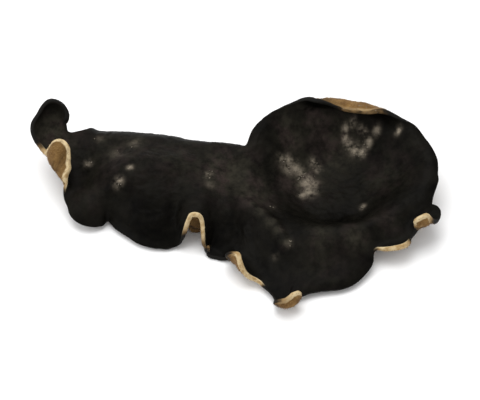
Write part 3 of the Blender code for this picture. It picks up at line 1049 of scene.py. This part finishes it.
    def join_stub(self, ear: bpy.types.Object) -> None:
        """Fuse the stub to the sheet.

        Args:
            ear: The sheet, with its lower side.
        """
        stub = self.stub.build(self.form)
        for material in ear.data.materials:
            stub.data.materials.append(material)
        stub.data.polygons.foreach_set("material_index", [Side.LOWER] * len(stub.data.polygons))
        union = ear.modifiers.new("stub", "BOOLEAN")
        union.operation = "UNION"
        union.solver = "EXACT"
        union.object = stub
        apply_modifiers(ear)
        bpy.data.objects.remove(stub)

    def crease(self, ear: bpy.types.Object) -> None:
        """Move both sides of the sheet by its relief.

        Args:
            ear: The sheet, with its stub.
        """
        mesh = ear.data
        shifts = np.empty(len(mesh.vertices) * 3, dtype=np.float32)
        mesh.attributes["relief"].data.foreach_get("vector", shifts)
        points = read_points(mesh)
        in_stub = ((np.linalg.norm(points[:, :2], axis=1) < self.stub_reach)
                   & (points[:, 2] < self.stub_top))
        fade = np.where(in_stub, 0.0, 1.0) * smooth_step(points[:, 2], 0.0, self.ground_calm)
        points += shifts.reshape(-1, 3) * fade[:, None]
        above = smooth_step(points[:, 2] + self.sunk, 0.0, self.sunk)
        points[:, 2] = np.maximum(points[:, 2], self.ground_gap * above)
        write_points(mesh, points)
        mesh.attributes.remove(mesh.attributes["relief"])

    def tone(self, ear: bpy.types.Object) -> None:
        """Write the numbers that the materials read.

        Args:
            ear: The finished shape.
        """
        mesh = ear.data
        points = read_points(mesh)
        _, beside = nearest(points, self.edge)
        on_rim = np.unique([corner for face in mesh.polygons if face.material_index == Side.RIM
                            for corner in face.vertices])
        away, _ = nearest(points, points[on_rim])
        reach = np.linalg.norm(points[:, :2], axis=1)
        below = points[:, 2] < self.form.height(points[:, :2]) - self.form.thickness / 2
        paint(mesh, "edge_distance", away)
        paint(mesh, "cream", self.margin[beside, CREAM])
        paint(mesh, "stub", (1 - smooth_step(reach, self.stub_core, self.stub_reach)) * below)
        # The bloom is partly painted light: painted lighter on faces that look up, and as highlights along
        # the ridges.
        paint(mesh, "bloom_and_painted_light", self.bloom_and_painted_light.amount(points, read_normals(mesh)[:, 2]))
        paint(mesh, "dust", spotted(points, DUST_SPOTS))
        # Painted shade in the hollows of the felt, inside the left curl and the pleat.
        paint(mesh, "brown", spotted(points, PAINTED_SHADE_SPOTS))

    def build(self, upper: bpy.types.Material, lower: bpy.types.Material,
              rim: bpy.types.Material) -> bpy.types.Object:
        """Model the ear and dress it.

        Args:
            upper: The upper side's material.
            lower: The material of the felt below and of the stub.
            rim: The cut edge's material.

        Returns:
            The finished ear.
        """
        ear = self.sheet()
        self.prepare(ear)
        for material in (upper, lower, rim):
            ear.data.materials.append(material)
        for step in (self.thicken, self.round_rim, self.join_stub, self.crease, self.tone):
            step(ear)
        make_active(ear)
        bpy.ops.object.shade_smooth()
        adopt(ear)
        return ear


@dataclass
class Dust:
    """Crumbs and specks that lie on the upper side."""

    crumbs: int = 110
    strays: int = 50
    smallest: float = 0.08
    largest: float = 0.26
    spread: float = 0.6         # how far they lie from a patch's middle, as a share of its radius
    dent: float = 0.55          # the most dented place's distance from a crumb's middle, as a share
    slimmest: float = 0.5       # the slimmest crumb's width over its length
    flatness: float = 0.55      # a crumb's height over its length
    lift: float = 0.25          # of a crumb's middle above the skin, as a share of its size
    fall: float = 60.0          # height from which they are dropped
    seed: int = 11

    def scattered(self, rng: np.random.Generator) -> list[tuple[float, float, float]]:
        """Choose where crumbs lie and how big they are.

        Args:
            rng: The source of the scatter.

        Returns:
            Places of x and y, and sizes.
        """
        found = []
        for spots, count in ((DUST_SPOTS, self.crumbs), (STRAY_SPOTS, self.strays)):
            weights = np.array([spot.strength * spot.radius ** 2 for spot in spots])
            for choice in rng.choice(len(spots), size=count, p=weights / weights.sum()):
                spot = spots[choice]
                x, y = rng.normal((spot.x, spot.y), spot.radius * self.spread)
                found.append((x, y, rng.uniform(self.smallest, self.largest)))
        return found

    def build(self, ear: bpy.types.Object, material: bpy.types.Material) -> bpy.types.Object:
        """Lay the crumbs on the ear.

        Args:
            ear: What they lie on.
            material: Their material.

        Returns:
            The crumbs, as one piece.
        """
        rng = np.random.default_rng(self.seed)
        select_none()
        bpy.ops.mesh.primitive_ico_sphere_add(subdivisions=1, radius=1.0)
        crumb = bpy.context.object
        ball = read_points(crumb.data) * MM
        ball_faces = np.array([tuple(face.vertices) for face in crumb.data.polygons])
        bpy.data.objects.remove(crumb)
        tree = BVHTree.FromObject(ear, bpy.context.evaluated_depsgraph_get())
        points, faces = [], []
        for x, y, size in self.scattered(rng):
            above = Vector((x, y, self.fall)) * MM
            hit, normal, _, _ = tree.ray_cast(above, Vector((0.0, 0.0, -1.0)))
            if hit is None:
                continue
            lumpy = ball * rng.uniform(self.dent, 1.0, ball.shape)
            lumpy = lumpy * (1.0, rng.uniform(self.slimmest, 1.0), self.flatness)
            turn = rng.uniform(0.0, 2 * math.pi)
            spin = np.array([[math.cos(turn), -math.sin(turn), 0.0],
                             [math.sin(turn), math.cos(turn), 0.0], [0.0, 0.0, 1.0]])
            faces.append(ball_faces + len(points) * len(ball))
            middle = np.array(hit) / MM + np.array(normal) * size * self.lift
            points.append(lumpy @ spin.T * size + middle)
        return new_piece("crumbs", np.vstack(points), np.vstack(faces), material)


# A hair's three sides, each from two of its three root points to its tip.
HAIR_SIDES = ((0, 1, 3), (1, 2, 3), (2, 0, 3))


@dataclass
class Felt:
    """The short, soft hairs that cover the lower side."""

    count: int = 42000
    length: float = 0.42
    lengths: tuple[float, float] = (0.5, 1.15)      # the shortest and the longest, as shares of it
    width: float = 0.045
    widths: tuple[float, float] = (0.7, 1.2)        # the slimmest and the widest, as shares of it
    lean: float = 0.75          # how far hairs lie over, as a share of standing up
    leans: tuple[float, float] = (0.6, 1.1)         # the least and the most, as shares of it
    droop: float = 0.6          # how much of its lean each hair loses in height
    tangle: float = 0.45        # how far hairs stray from their common direction
    root: float = 0.02          # how deep they are rooted
    edge_bare: float = 0.5      # no hairs this close to the cut edge
    ground_bare: float = 0.12   # or to the ground
    ground_gap: float = 0.03    # between the hairs' tips and the ground
    seed: int = 23

    def build(self, ear: bpy.types.Object, edge: np.ndarray,
              material: bpy.types.Material) -> bpy.types.Object:
        """Grow the hairs on the lower side.

        Args:
            ear: The ear they grow on.
            edge: The cut edge's points.
            material: Their material.

        Returns:
            The hairs, as one piece.
        """
        rng = np.random.default_rng(self.seed)
        mesh = ear.data
        mesh.calc_loop_triangles()
        corners = np.empty(len(mesh.loop_triangles) * 3, dtype=np.int64)
        mesh.loop_triangles.foreach_get("vertices", corners)
        sides = np.empty(len(mesh.loop_triangles), dtype=np.int64)
        mesh.loop_triangles.foreach_get("material_index", sides)
        felted = in_order(read_points(mesh)[corners.reshape(-1, 3)[sides == Side.LOWER]])
        normals = np.cross(felted[:, 1] - felted[:, 0], felted[:, 2] - felted[:, 0])
        areas = np.linalg.norm(normals, axis=1)
        chosen = rng.choice(len(felted), size=self.count, p=areas / areas.sum())
        first, second = np.sort(rng.random((2, self.count)), axis=0)
        weights = np.column_stack([first, second - first, 1 - second])
        roots = np.einsum("ij,ijk->ik", weights, felted[chosen])
        away, _ = nearest(roots, edge)
        kept = (away > self.edge_bare) & (roots[:, 2] > self.ground_bare)
        points, faces = self.grow(roots[kept], unit(normals[chosen[kept]]), rng)
        return new_piece("felt_hairs", points, faces, material)

    def grow(self, roots: np.ndarray, up: np.ndarray,
             rng: np.random.Generator) -> tuple[np.ndarray, np.ndarray]:
        """Make one three-sided hair on each root.

        Args:
            roots: Where the hairs grow.
            up: Which way the surface faces there.
            rng: The source of their unevenness.

        Returns:
            The hairs' points, and three point numbers for each triangle.
        """
        count = len(roots)
        comb = unit(np.column_stack([roots[:, :2], np.zeros(count)]) + NEARLY_ZERO)
        comb = comb + rng.normal(0.0, self.tangle, (count, 3))
        comb = unit(comb - np.sum(comb * up, axis=1)[:, None] * up)
        beside = np.cross(up, comb)
        lean = self.lean * rng.uniform(*self.leans, count)[:, None]
        length = self.length * rng.uniform(*self.lengths, count)[:, None]
        tips = roots + length * unit(up * (1 - lean * self.droop) + comb * lean)
        tips[:, 2] = np.maximum(tips[:, 2], self.ground_gap)
        width = self.width * rng.uniform(*self.widths, count)[:, None]
        bases = [roots - self.root * up + width * (math.cos(turn) * beside + math.sin(turn) * comb)
                 for turn in np.radians((90.0, 210.0, 330.0))]
        points = np.stack(bases + [tips], axis=1)
        starts = points.shape[1] * np.arange(count)[:, None]
        return points.reshape(-1, 3), np.vstack([starts + np.array(side) for side in HAIR_SIDES])


class Pattern(NamedTuple):
    """Smooth noise that is eased to a mask."""

    length: float               # of its longest waves, in mm
    low: float                  # the noise up to which the mask is 0
    high: float                 # the noise from which the mask is 1
    detail: float = 4.0         # how many finer sets of waves are laid over the longest
    roughness: float = 0.6      # how strong the finer sets are


class Tree:
    """Adds shader nodes to one node tree and joins them."""

    def __init__(self, tree: bpy.types.NodeTree) -> None:
        """Take a node tree to work on."""
        self.tree = tree

    def feed(self, node: bpy.types.Node, inputs: dict) -> bpy.types.Node:
        """Join sockets to a node's inputs, or set the inputs to values.

        Args:
            node: The node.
            inputs: Values or output sockets by the name or number of the input they go to.

        Returns:
            The node.
        """
        for name, value in inputs.items():
            if isinstance(value, bpy.types.NodeSocket):
                self.tree.links.new(value, node.inputs[name])
            else:
                node.inputs[name].default_value = value
        return node

    def add(self, kind: str, inputs: dict | None = None, **settings: object) -> bpy.types.Node:
        """Add a node.

        Args:
            kind: The node's type.
            inputs: Values or output sockets by the name or number of the input they go to.
            settings: The node's own settings.

        Returns:
            The node.
        """
        node = self.tree.nodes.new(kind)
        for name, value in settings.items():
            setattr(node, name, value)
        return self.feed(node, inputs or {})

    def use(self, group: bpy.types.NodeTree, **inputs: object) -> bpy.types.Node:
        """Add a node group, with its inputs by name."""
        return self.add("ShaderNodeGroup", inputs, node_tree=group)

    def math(self, operation: str, *values: object) -> bpy.types.NodeSocket:
        """Work out a number from numbers or output sockets, by the Math node's operation."""
        return self.add("ShaderNodeMath", dict(enumerate(values)), operation=operation).outputs[0]

    def mix(self, share: object, first: object, second: object) -> bpy.types.NodeSocket:
        """Mix two colours, with this share of the second, and give the mixed colour's socket."""
        return self.add("ShaderNodeMix", {0: share, 6: first, 7: second}, data_type="RGBA").outputs[2]

    def ramp(self, value: object, low: float, high: float) -> bpy.types.NodeSocket:
        """Ease a number from 0 at the low value to 1 at the high one, and give its socket."""
        ends = {0: value, 1: low, 2: high}
        return self.add("ShaderNodeMapRange", ends, interpolation_type="SMOOTHSTEP").outputs[0]

    def noise(self, place: object, length: float, detail: float = 4.0,
              roughness: float = 0.55) -> bpy.types.NodeSocket:
        """Add smooth noise.

        Args:
            place: The socket of the place, in mm.
            length: Length of its longest waves, in mm.
            detail: How many finer sets of waves are laid over it.
            roughness: How strong the finer sets are.

        Returns:
            The socket of its value, 0 to 1.
        """
        inputs = {"Vector": place, "Scale": 1.0 / length, "Detail": detail, "Roughness": roughness}
        return self.add("ShaderNodeTexNoise", inputs).outputs[0]

    def pattern(self, place: object, pattern: Pattern) -> bpy.types.NodeSocket:
        """Read a pattern at a place in mm, and give its mask's socket."""
        uneven = self.noise(place, pattern.length, pattern.detail, pattern.roughness)
        return self.ramp(uneven, pattern.low, pattern.high)

    def bump(self, height: bpy.types.NodeSocket, strength: float, depth: float) -> bpy.types.NodeSocket:
        """Give the normal of a surface with this relief, whose depth is in mm."""
        inputs = {"Height": height, "Strength": strength, "Distance": depth * MM}
        return self.add("ShaderNodeBump", inputs).outputs[0]

    def place(self) -> bpy.types.NodeSocket:
        """Give the place on the piece, in mm."""
        spot = self.add("ShaderNodeTexCoord").outputs["Object"]
        return self.add("ShaderNodeMapping", {"Vector": spot, "Scale": (1 / MM,) * 3}).outputs[0]

    def attribute(self, name: str) -> bpy.types.NodeSocket:
        """Give a number that is kept on the mesh."""
        return self.add("ShaderNodeAttribute", attribute_name=name).outputs["Fac"]


FLOAT, COLOUR, VECTOR = "NodeSocketFloat", "NodeSocketColor", "NodeSocketVector"
TINTED = {"Color": COLOUR, "Mask": FLOAT}       # the outputs of a group that lays a colour over another


def new_group(name: str, inputs: dict[str, str], outputs: dict[str, str]) -> tuple[Tree, dict, object]:
    """Start a shader node group.

    Args:
        name: The group's name.
        inputs: Socket types by name.
        outputs: Socket types by name.

    Returns:
        The group's tree, its inputs by name, and the node its outputs go to.
    """
    tree = bpy.data.node_groups.new(name, "ShaderNodeTree")
    for sockets, in_out in ((inputs, "INPUT"), (outputs, "OUTPUT")):
        for socket, kind in sockets.items():
            tree.interface.new_socket(socket, in_out=in_out, socket_type=kind)
    given = tree.nodes.new("NodeGroupInput")
    return Tree(tree), {s.name: s for s in given.outputs if s.name}, tree.nodes.new("NodeGroupOutput")


@dataclass(frozen=True)
class Grain:
    """The dried grain, fine wrinkles and pores: a group that gives a height and a mottling, 0 to 1."""

    detail: float = 4.0         # of the wrinkles
    roughness: float = 0.65
    pore_scale: float = 0.8     # pores in one length of the grain
    pore_depth: float = 0.5     # over the wrinkles' height
    mottling: Pattern = Pattern(6.0, 0.35, 0.68, 5.0)     # its length is in lengths of the grain

    def group(self) -> bpy.types.NodeTree:
        """Make the node group.

        Returns:
            The group.
        """
        tree, given, out = new_group("dried_grain", {"Place": VECTOR, "Length": FLOAT},
                                     {"Height": FLOAT, "Mottling": FLOAT})
        scaled = tree.add("ShaderNodeVectorMath", {0: given["Place"], 1: given["Length"]},
                          operation="DIVIDE").outputs[0]
        wrinkles = tree.noise(scaled, 1.0, self.detail, self.roughness)
        pores = tree.add("ShaderNodeTexVoronoi", {"Vector": scaled, "Scale": self.pore_scale},
                         feature="SMOOTH_F1").outputs[0]
        tree.feed(out, {"Height": tree.math("MULTIPLY_ADD", pores, self.pore_depth, wrinkles),
                        "Mottling": tree.pattern(scaled, self.mottling)})
        return tree.tree


@dataclass(frozen=True)
class CutEdge:
    """Cream flesh that ends unevenly: a group that gives a colour and how much cream shows."""

    ragged_length: float = 1.4                      # mm, of the cream's uneven end
    fade: tuple[float, float] = (0.75, 1.15)        # share of its width over which the cream ends
    present: tuple[float, float] = (0.45, 0.9)      # amount of cream over which it comes to show

    def group(self) -> bpy.types.NodeTree:
        """Make the node group.

        Returns:
            The group.
        """
        tree, given, out = new_group(
            "cut_edge", {"Body": COLOUR, "Cream": COLOUR, "Place": VECTOR, "Distance": FLOAT,
                         "Amount": FLOAT, "Width": FLOAT}, TINTED)
        uneven = tree.math("ADD", tree.noise(given["Place"], self.ragged_length), 0.5)
        reach = tree.math("MULTIPLY", given["Width"], uneven)
        gone = tree.ramp(tree.math("DIVIDE", given["Distance"], reach), *self.fade)
        near = tree.math("SUBTRACT", 1.0, gone)
        mask = tree.math("MULTIPLY", near, tree.ramp(given["Amount"], *self.present))
        tree.feed(out, {"Color": tree.mix(mask, given["Body"], given["Cream"]), "Mask": mask})
        return tree.tree


@dataclass(frozen=True)
class Dusting:
    """Powder that lies in patches: a group that gives a colour and how much powder shows."""

    coarse: Pattern = Pattern(1.9, 0.30, 0.66, 4.0, 0.62)
    fine: Pattern = Pattern(0.6, -0.1, 0.60, 3.0)

    def group(self) -> bpy.types.NodeTree:
        """Make the node group.

        Returns:
            The group.
        """
        tree, given, out = new_group("dusting", {"Body": COLOUR, "Powder": COLOUR, "Place": VECTOR,
                                                 "Amount": FLOAT}, TINTED)
        patches = tree.math("MULTIPLY", tree.pattern(given["Place"], self.coarse),
                            tree.pattern(given["Place"], self.fine))
        mask = tree.math("MULTIPLY", patches, given["Amount"])
        tree.feed(out, {"Color": tree.mix(mask, given["Body"], given["Powder"]), "Mask": mask})
        return tree.tree


class Groups(NamedTuple):
    """The node groups that several materials use."""

    grain: bpy.types.NodeTree
    cut_edge: bpy.types.NodeTree
    dusting: bpy.types.NodeTree


def new_material(name: str) -> tuple[bpy.types.Material, Tree, bpy.types.Node]:
    """Start a material.

    Args:
        name: The material's name.

    Returns:
        The material, its tree and its shader.
    """
    material = bpy.data.materials.new(name)
    material.use_nodes = True
    return material, Tree(material.node_tree), material.node_tree.nodes["Principled BSDF"]


@dataclass(frozen=True)
class SkinFinish:
    """The near-black upper side, with its bloom and painted light, dust and cream cut edge."""

    night: Colour = (0.0011, 0.0010, 0.0008, 1.0)
    umber: Colour = (0.0040, 0.0036, 0.0027, 1.0)
    # The bloom's grey, which is also the colour of the painted highlights and of the lit faces.
    bloom_and_painted_light: Colour = (0.029, 0.0262, 0.0190, 1.0)
    plum: Colour = (0.034, 0.0250, 0.0220, 1.0)
    powder: Colour = (0.30, 0.255, 0.195, 1.0)
    shades: Pattern = Pattern(7.0, 0.36, 0.66)                  # of night and umber
    patches: Pattern = Pattern(2.4, 0.30, 0.70, 5.0, 0.68)      # of bloom
    hues: Pattern = Pattern(5.5, 0.42, 0.60, 3.0)               # of grey and plum in the bloom
    thinnest: float = 0.2           # share of the bloom that lies between its patches
    mottling: float = 0.06          # how strongly the grain colours the skin
    edge_width: float = 0.3         # mm, of the cream along the cut edge
    grain: float = 0.5              # mm, the grain's length
    bump: float = 0.5
    bump_depth: float = 0.06        # mm
    roughness: float = 0.42
    bloom_roughness: float = 0.75
    specular: float = 0.025

    def material(self, groups: Groups) -> bpy.types.Material:
        """Make the material.

        Args:
            groups: The shared node groups.

        Returns:
            The material.
        """
        material, tree, shader = new_material("dark_skin")
        place = tree.place()
        grain = tree.use(groups.grain, Place=place, Length=self.grain)
        base = tree.mix(tree.pattern(place, self.shades), self.night, self.umber)
        patchy = tree.math("MULTIPLY_ADD", tree.pattern(place, self.patches), 1 - self.thinnest,
                           self.thinnest)
        # Bloom and painted light: lighter grey where faces look up and along the painted ridge highlights.
        bloom_and_light_mask = tree.math("MULTIPLY", tree.attribute("bloom_and_painted_light"), patchy)
        hue = tree.mix(tree.pattern(place, self.hues), self.bloom_and_painted_light, self.plum)
        mottled = tree.math("MULTIPLY", grain.outputs["Mottling"], self.mottling)
        body = tree.mix(mottled, tree.mix(bloom_and_light_mask, base, hue), self.bloom_and_painted_light)
        dusted = tree.use(groups.dusting, Body=body, Powder=self.powder, Place=place,
                          Amount=tree.attribute("dust"))
        edged = tree.use(groups.cut_edge, Body=dusted.outputs["Color"], Cream=CREAM_FLESH, Place=place,
                         Distance=tree.attribute("edge_distance"), Amount=tree.attribute("cream"),
                         Width=self.edge_width)
        dull = tree.math("MAXIMUM", bloom_and_light_mask, dusted.outputs["Mask"])
        rough = tree.math("MULTIPLY_ADD", dull, self.bloom_roughness - self.roughness, self.roughness)
        tree.feed(shader, {"Base Color": edged.outputs["Color"], "Roughness": rough,
                           "Specular IOR Level": self.specular,
                           "Normal": tree.bump(grain.outputs["Height"], self.bump, self.bump_depth)})
        return material


@dataclass(frozen=True)
class RimFinish:
    """The cut edge: cream flesh, or the dark skin where it wraps round."""

    tan: Colour = (0.31, 0.20, 0.085, 1.0)
    stained: Colour = (0.20, 0.12, 0.048, 1.0)
    skin: Colour = (0.0050, 0.0044, 0.0034, 1.0)
    clean: tuple[float, float] = (0.55, 0.9)        # amount of cream over which the stains end
    bare: tuple[float, float] = (0.72, 0.98)        # amount over which flesh takes the skin's place
    ragged: float = 0.5             # how uneven that border is
    ragged_length: float = 2.2      # mm
    grain: float = 0.22             # mm, the grain's length
    bump: float = 0.6
    bump_depth: float = 0.05        # mm
    roughness: float = 0.72
    specular: float = 0.12

    def material(self, groups: Groups) -> bpy.types.Material:
        """Make the material.

        Args:
            groups: The shared node groups.

        Returns:
            The material.
        """
        material, tree, shader = new_material("cut_edge")
        place = tree.place()
        amount = tree.attribute("cream")
        grain = tree.use(groups.grain, Place=place, Length=self.grain)
        flesh = tree.mix(grain.outputs["Mottling"], CREAM_FLESH, self.tan)
        flesh = tree.mix(tree.ramp(amount, *self.clean), self.stained, flesh)
        uneven = tree.math("MULTIPLY_ADD", tree.noise(place, self.ragged_length), self.ragged, amount)
        colour = tree.mix(tree.ramp(uneven, *self.bare), self.skin, flesh)
        tree.feed(shader, {"Base Color": colour, "Roughness": self.roughness,
                           "Specular IOR Level": self.specular,
                           "Normal": tree.bump(grain.outputs["Height"], self.bump, self.bump_depth)})
        return material


@dataclass(frozen=True)
class FeltFinish:
    """The tan felt of the lower side, with painted shade in its hollows, the cream cut edge and the woody
    stub.
    """

    tan: Colour = (0.235, 0.135, 0.044, 1.0)
    brown: Colour = (0.100, 0.048, 0.012, 1.0)
    painted_shade_brown: Colour = (0.085, 0.045, 0.013, 1.0)
    wood: Colour = (0.12, 0.070, 0.031, 1.0)
    dark_wood: Colour = (0.035, 0.020, 0.010, 1.0)
    skin: Colour = (0.0055, 0.0048, 0.0036, 1.0)
    streaks: Pattern = Pattern(3.2, 0.34, 0.68, 6.0, 0.62)      # of tan and brown
    fibres: Pattern = Pattern(0.7, 0.38, 0.64)                  # of the stub's wood
    fibre_slimness: float = 0.22    # a fibre's width over its length
    mottling: float = 0.35          # how strongly the grain colours the felt
    wrap: float = 2.2               # mm, how far the skin reaches round the edge and under
    whole_wrap: float = 0.4         # share of that over which the skin is whole
    ragged_length: float = 1.8      # mm, of the skin's uneven end
    creamy: tuple[float, float] = (0.35, 0.6)       # amount of cream over which no skin wraps round
    edge_width: float = 0.7         # mm, of the cream along the cut edge
    grain: float = 0.32             # mm, the grain's length
    bump: float = 0.8
    bump_depth: float = 0.09        # mm
    roughness: float = 0.9
    sheen: float = 0.04
    specular: float = 0.15

    def material(self, groups: Groups) -> bpy.types.Material:
        """Make the material.

        Args:
            groups: The shared node groups.

        Returns:
            The material.
        """
        material, tree, shader = new_material("tan_felt")
        place = tree.place()
        amount = tree.attribute("cream")
        distance = tree.attribute("edge_distance")
        grain = tree.use(groups.grain, Place=place, Length=self.grain)
        base = tree.mix(tree.pattern(place, self.streaks), self.tan, self.brown)
        mottled = tree.math("MULTIPLY", grain.outputs["Mottling"], self.mottling)
        base = tree.mix(mottled, base, self.brown)
        # Painted shade: darker brown inside the left curl and the pleat.
        base = tree.mix(tree.attribute("brown"), base, self.painted_shade_brown)
        upright = tree.add("ShaderNodeMapping", {"Vector": place, "Scale": (1.0, 1.0, self.fibre_slimness)})
        wood = tree.mix(tree.pattern(upright.outputs[0], self.fibres), self.wood, self.dark_wood)
        base = tree.mix(tree.attribute("stub"), base, wood)
        uneven = tree.math("ADD", tree.noise(place, self.ragged_length), 0.5)
        ended = tree.ramp(tree.math("MULTIPLY", distance, uneven), self.whole_wrap * self.wrap, self.wrap)
        wrapped = tree.math("SUBTRACT", 1.0, ended)
        dark_edge = tree.math("SUBTRACT", 1.0, tree.ramp(amount, *self.creamy))
        base = tree.mix(tree.math("MULTIPLY", wrapped, dark_edge), base, self.skin)
        edged = tree.use(groups.cut_edge, Body=base, Cream=CREAM_FLESH, Place=place, Distance=distance,
                         Amount=amount, Width=self.edge_width)
        tree.feed(shader, {"Base Color": edged.outputs["Color"], "Roughness": self.roughness,
                           "Specular IOR Level": self.specular, "Sheen Weight": self.sheen,
                           "Normal": tree.bump(grain.outputs["Height"], self.bump, self.bump_depth)})
        return material


@dataclass(frozen=True)
class SpeckFinish:
    """A finish for many small things, each a little lighter or darker."""

    name: str
    pale: Colour
    deep: Colour
    grain: float                # mm, the grain's length
    roughness: float = 0.9

    def material(self, groups: Groups) -> bpy.types.Material:
        """Make the material.

        Args:
            groups: The shared node groups.

        Returns:
            The material.
        """
        material, tree, shader = new_material(self.name)
        grain = tree.use(groups.grain, Place=tree.place(), Length=self.grain)
        tree.feed(shader, {"Base Color": tree.mix(grain.outputs["Mottling"], self.pale, self.deep),
                           "Roughness": self.roughness})
        return material


HAIR = SpeckFinish("hair", (0.30, 0.18, 0.065, 1.0), (0.15, 0.075, 0.02, 1.0), 0.3)
CRUMB = SpeckFinish("crumb", (0.20, 0.17, 0.13, 1.0), (0.07, 0.058, 0.042, 1.0), 0.2)


@dataclass(frozen=True)
class Softbox:
    """One soft studio light, aimed at the ear."""

    name: str
    place: tuple[float, float, float]   # m
    size: float                         # m
    power: float                        # W

    def build(self) -> None:
        """Hang the light."""
        select_none()
        bpy.ops.object.light_add(type="AREA", location=self.place)
        light = bpy.context.object
        light.name = self.name
        light.data.size = self.size
        light.data.energy = self.power
        light.rotation_euler = (-Vector(self.place)).to_track_quat("-Z", "Y").to_euler()


@dataclass
class Studio:
    """The pale floor, the soft light and the camera."""

    elevation: float = 50.0         # degrees above the floor, straight from the front
    distance: float = 1.0           # m from the camera to the ear
    view_width: float = 0.1184      # m across the picture at the ear
    sensor: float = 36.0            # mm
    sight: float = 20.0             # m, the farthest that the camera sees
    aim_right: float = 0.00037      # m, from the origin to the picture's middle
    aim_up: float = -0.00037
    floor_size: float = 4.0         # m
    floor_colour: Colour = (0.90, 0.90, 0.90, 1.0)
    floor_roughness: float = 0.9
    sky_colour: Colour = (1.0, 1.0, 1.0, 1.0)
    sky: float = 0.84               # the sky's strength
    softboxes: tuple[Softbox, ...] = (
        Softbox("top_light", (-0.10, 0.22, 0.85), 0.7, 5.5),
        Softbox("side_light", (-0.75, -0.15, 0.55), 0.5, 2.0),
    )

    def floor(self) -> None:
        """Lay the floor."""
        select_none()
        bpy.ops.mesh.primitive_plane_add(size=self.floor_size)
        plane = bpy.context.object
        plane.name = "floor"
        material, tree, shader = new_material("pale_floor")
        tree.feed(shader, {"Base Color": self.floor_colour, "Roughness": self.floor_roughness})
        plane.data.materials.append(material)

    def light(self) -> None:
        """Hang the lights and set the pale surroundings."""
        for softbox in self.softboxes:
            softbox.build()
        world = bpy.data.worlds.new("studio")
        world.use_nodes = True
        sky = world.node_tree.nodes["Background"]
        Tree(world.node_tree).feed(sky, {"Color": self.sky_colour, "Strength": self.sky})
        bpy.context.scene.world = world
        bpy.context.scene.view_settings.view_transform = "Standard"

    def camera(self) -> None:
        """Place the camera at the photograph's viewing angle."""
        angle = math.radians(self.elevation)
        ahead = Vector((0.0, math.cos(angle), -math.sin(angle)))
        up = Vector((0.0, math.sin(angle), math.cos(angle)))
        aim = Vector((self.aim_right, 0.0, 0.0)) + up * self.aim_up
        select_none()
        bpy.ops.object.camera_add(location=aim - ahead * self.distance)
        camera = bpy.context.object
        camera.rotation_euler = ahead.to_track_quat("-Z", "Y").to_euler()
        camera.data.sensor_width = self.sensor
        camera.data.lens = self.sensor * self.distance / self.view_width
        camera.data.clip_end = self.sight
        bpy.context.scene.camera = camera

    def build(self) -> None:
        """Set up the whole studio."""
        self.camera()
        self.floor()
        self.light()


def report(piece: bpy.types.Object) -> None:
    """Log a piece's name and size.

    Args:
        piece: The piece.
    """
    piece.data.calc_loop_triangles()
    size = ", ".join(f"{side / MM:.1f}" for side in piece.dimensions)
    LOG.info("%s: %d triangles, %s mm", piece.name, len(piece.data.loop_triangles), size)


def main() -> None:
    """Build the ear and its studio."""
    logging.basicConfig(level=logging.INFO)
    Studio().build()
    groups = Groups(Grain().group(), CutEdge().group(), Dusting().group())
    body = FruitingBody(SheetForm(), Relief(), Stub(), Gather(), BloomAndPaintedLight())
    ear = body.build(SkinFinish().material(groups), FeltFinish().material(groups),
                     RimFinish().material(groups))
    report(ear)
    report(Felt().build(ear, body.edge, HAIR.material(groups)))
    report(Dust().build(ear, CRUMB.material(groups)))


if __name__ == "__main__":
    main()
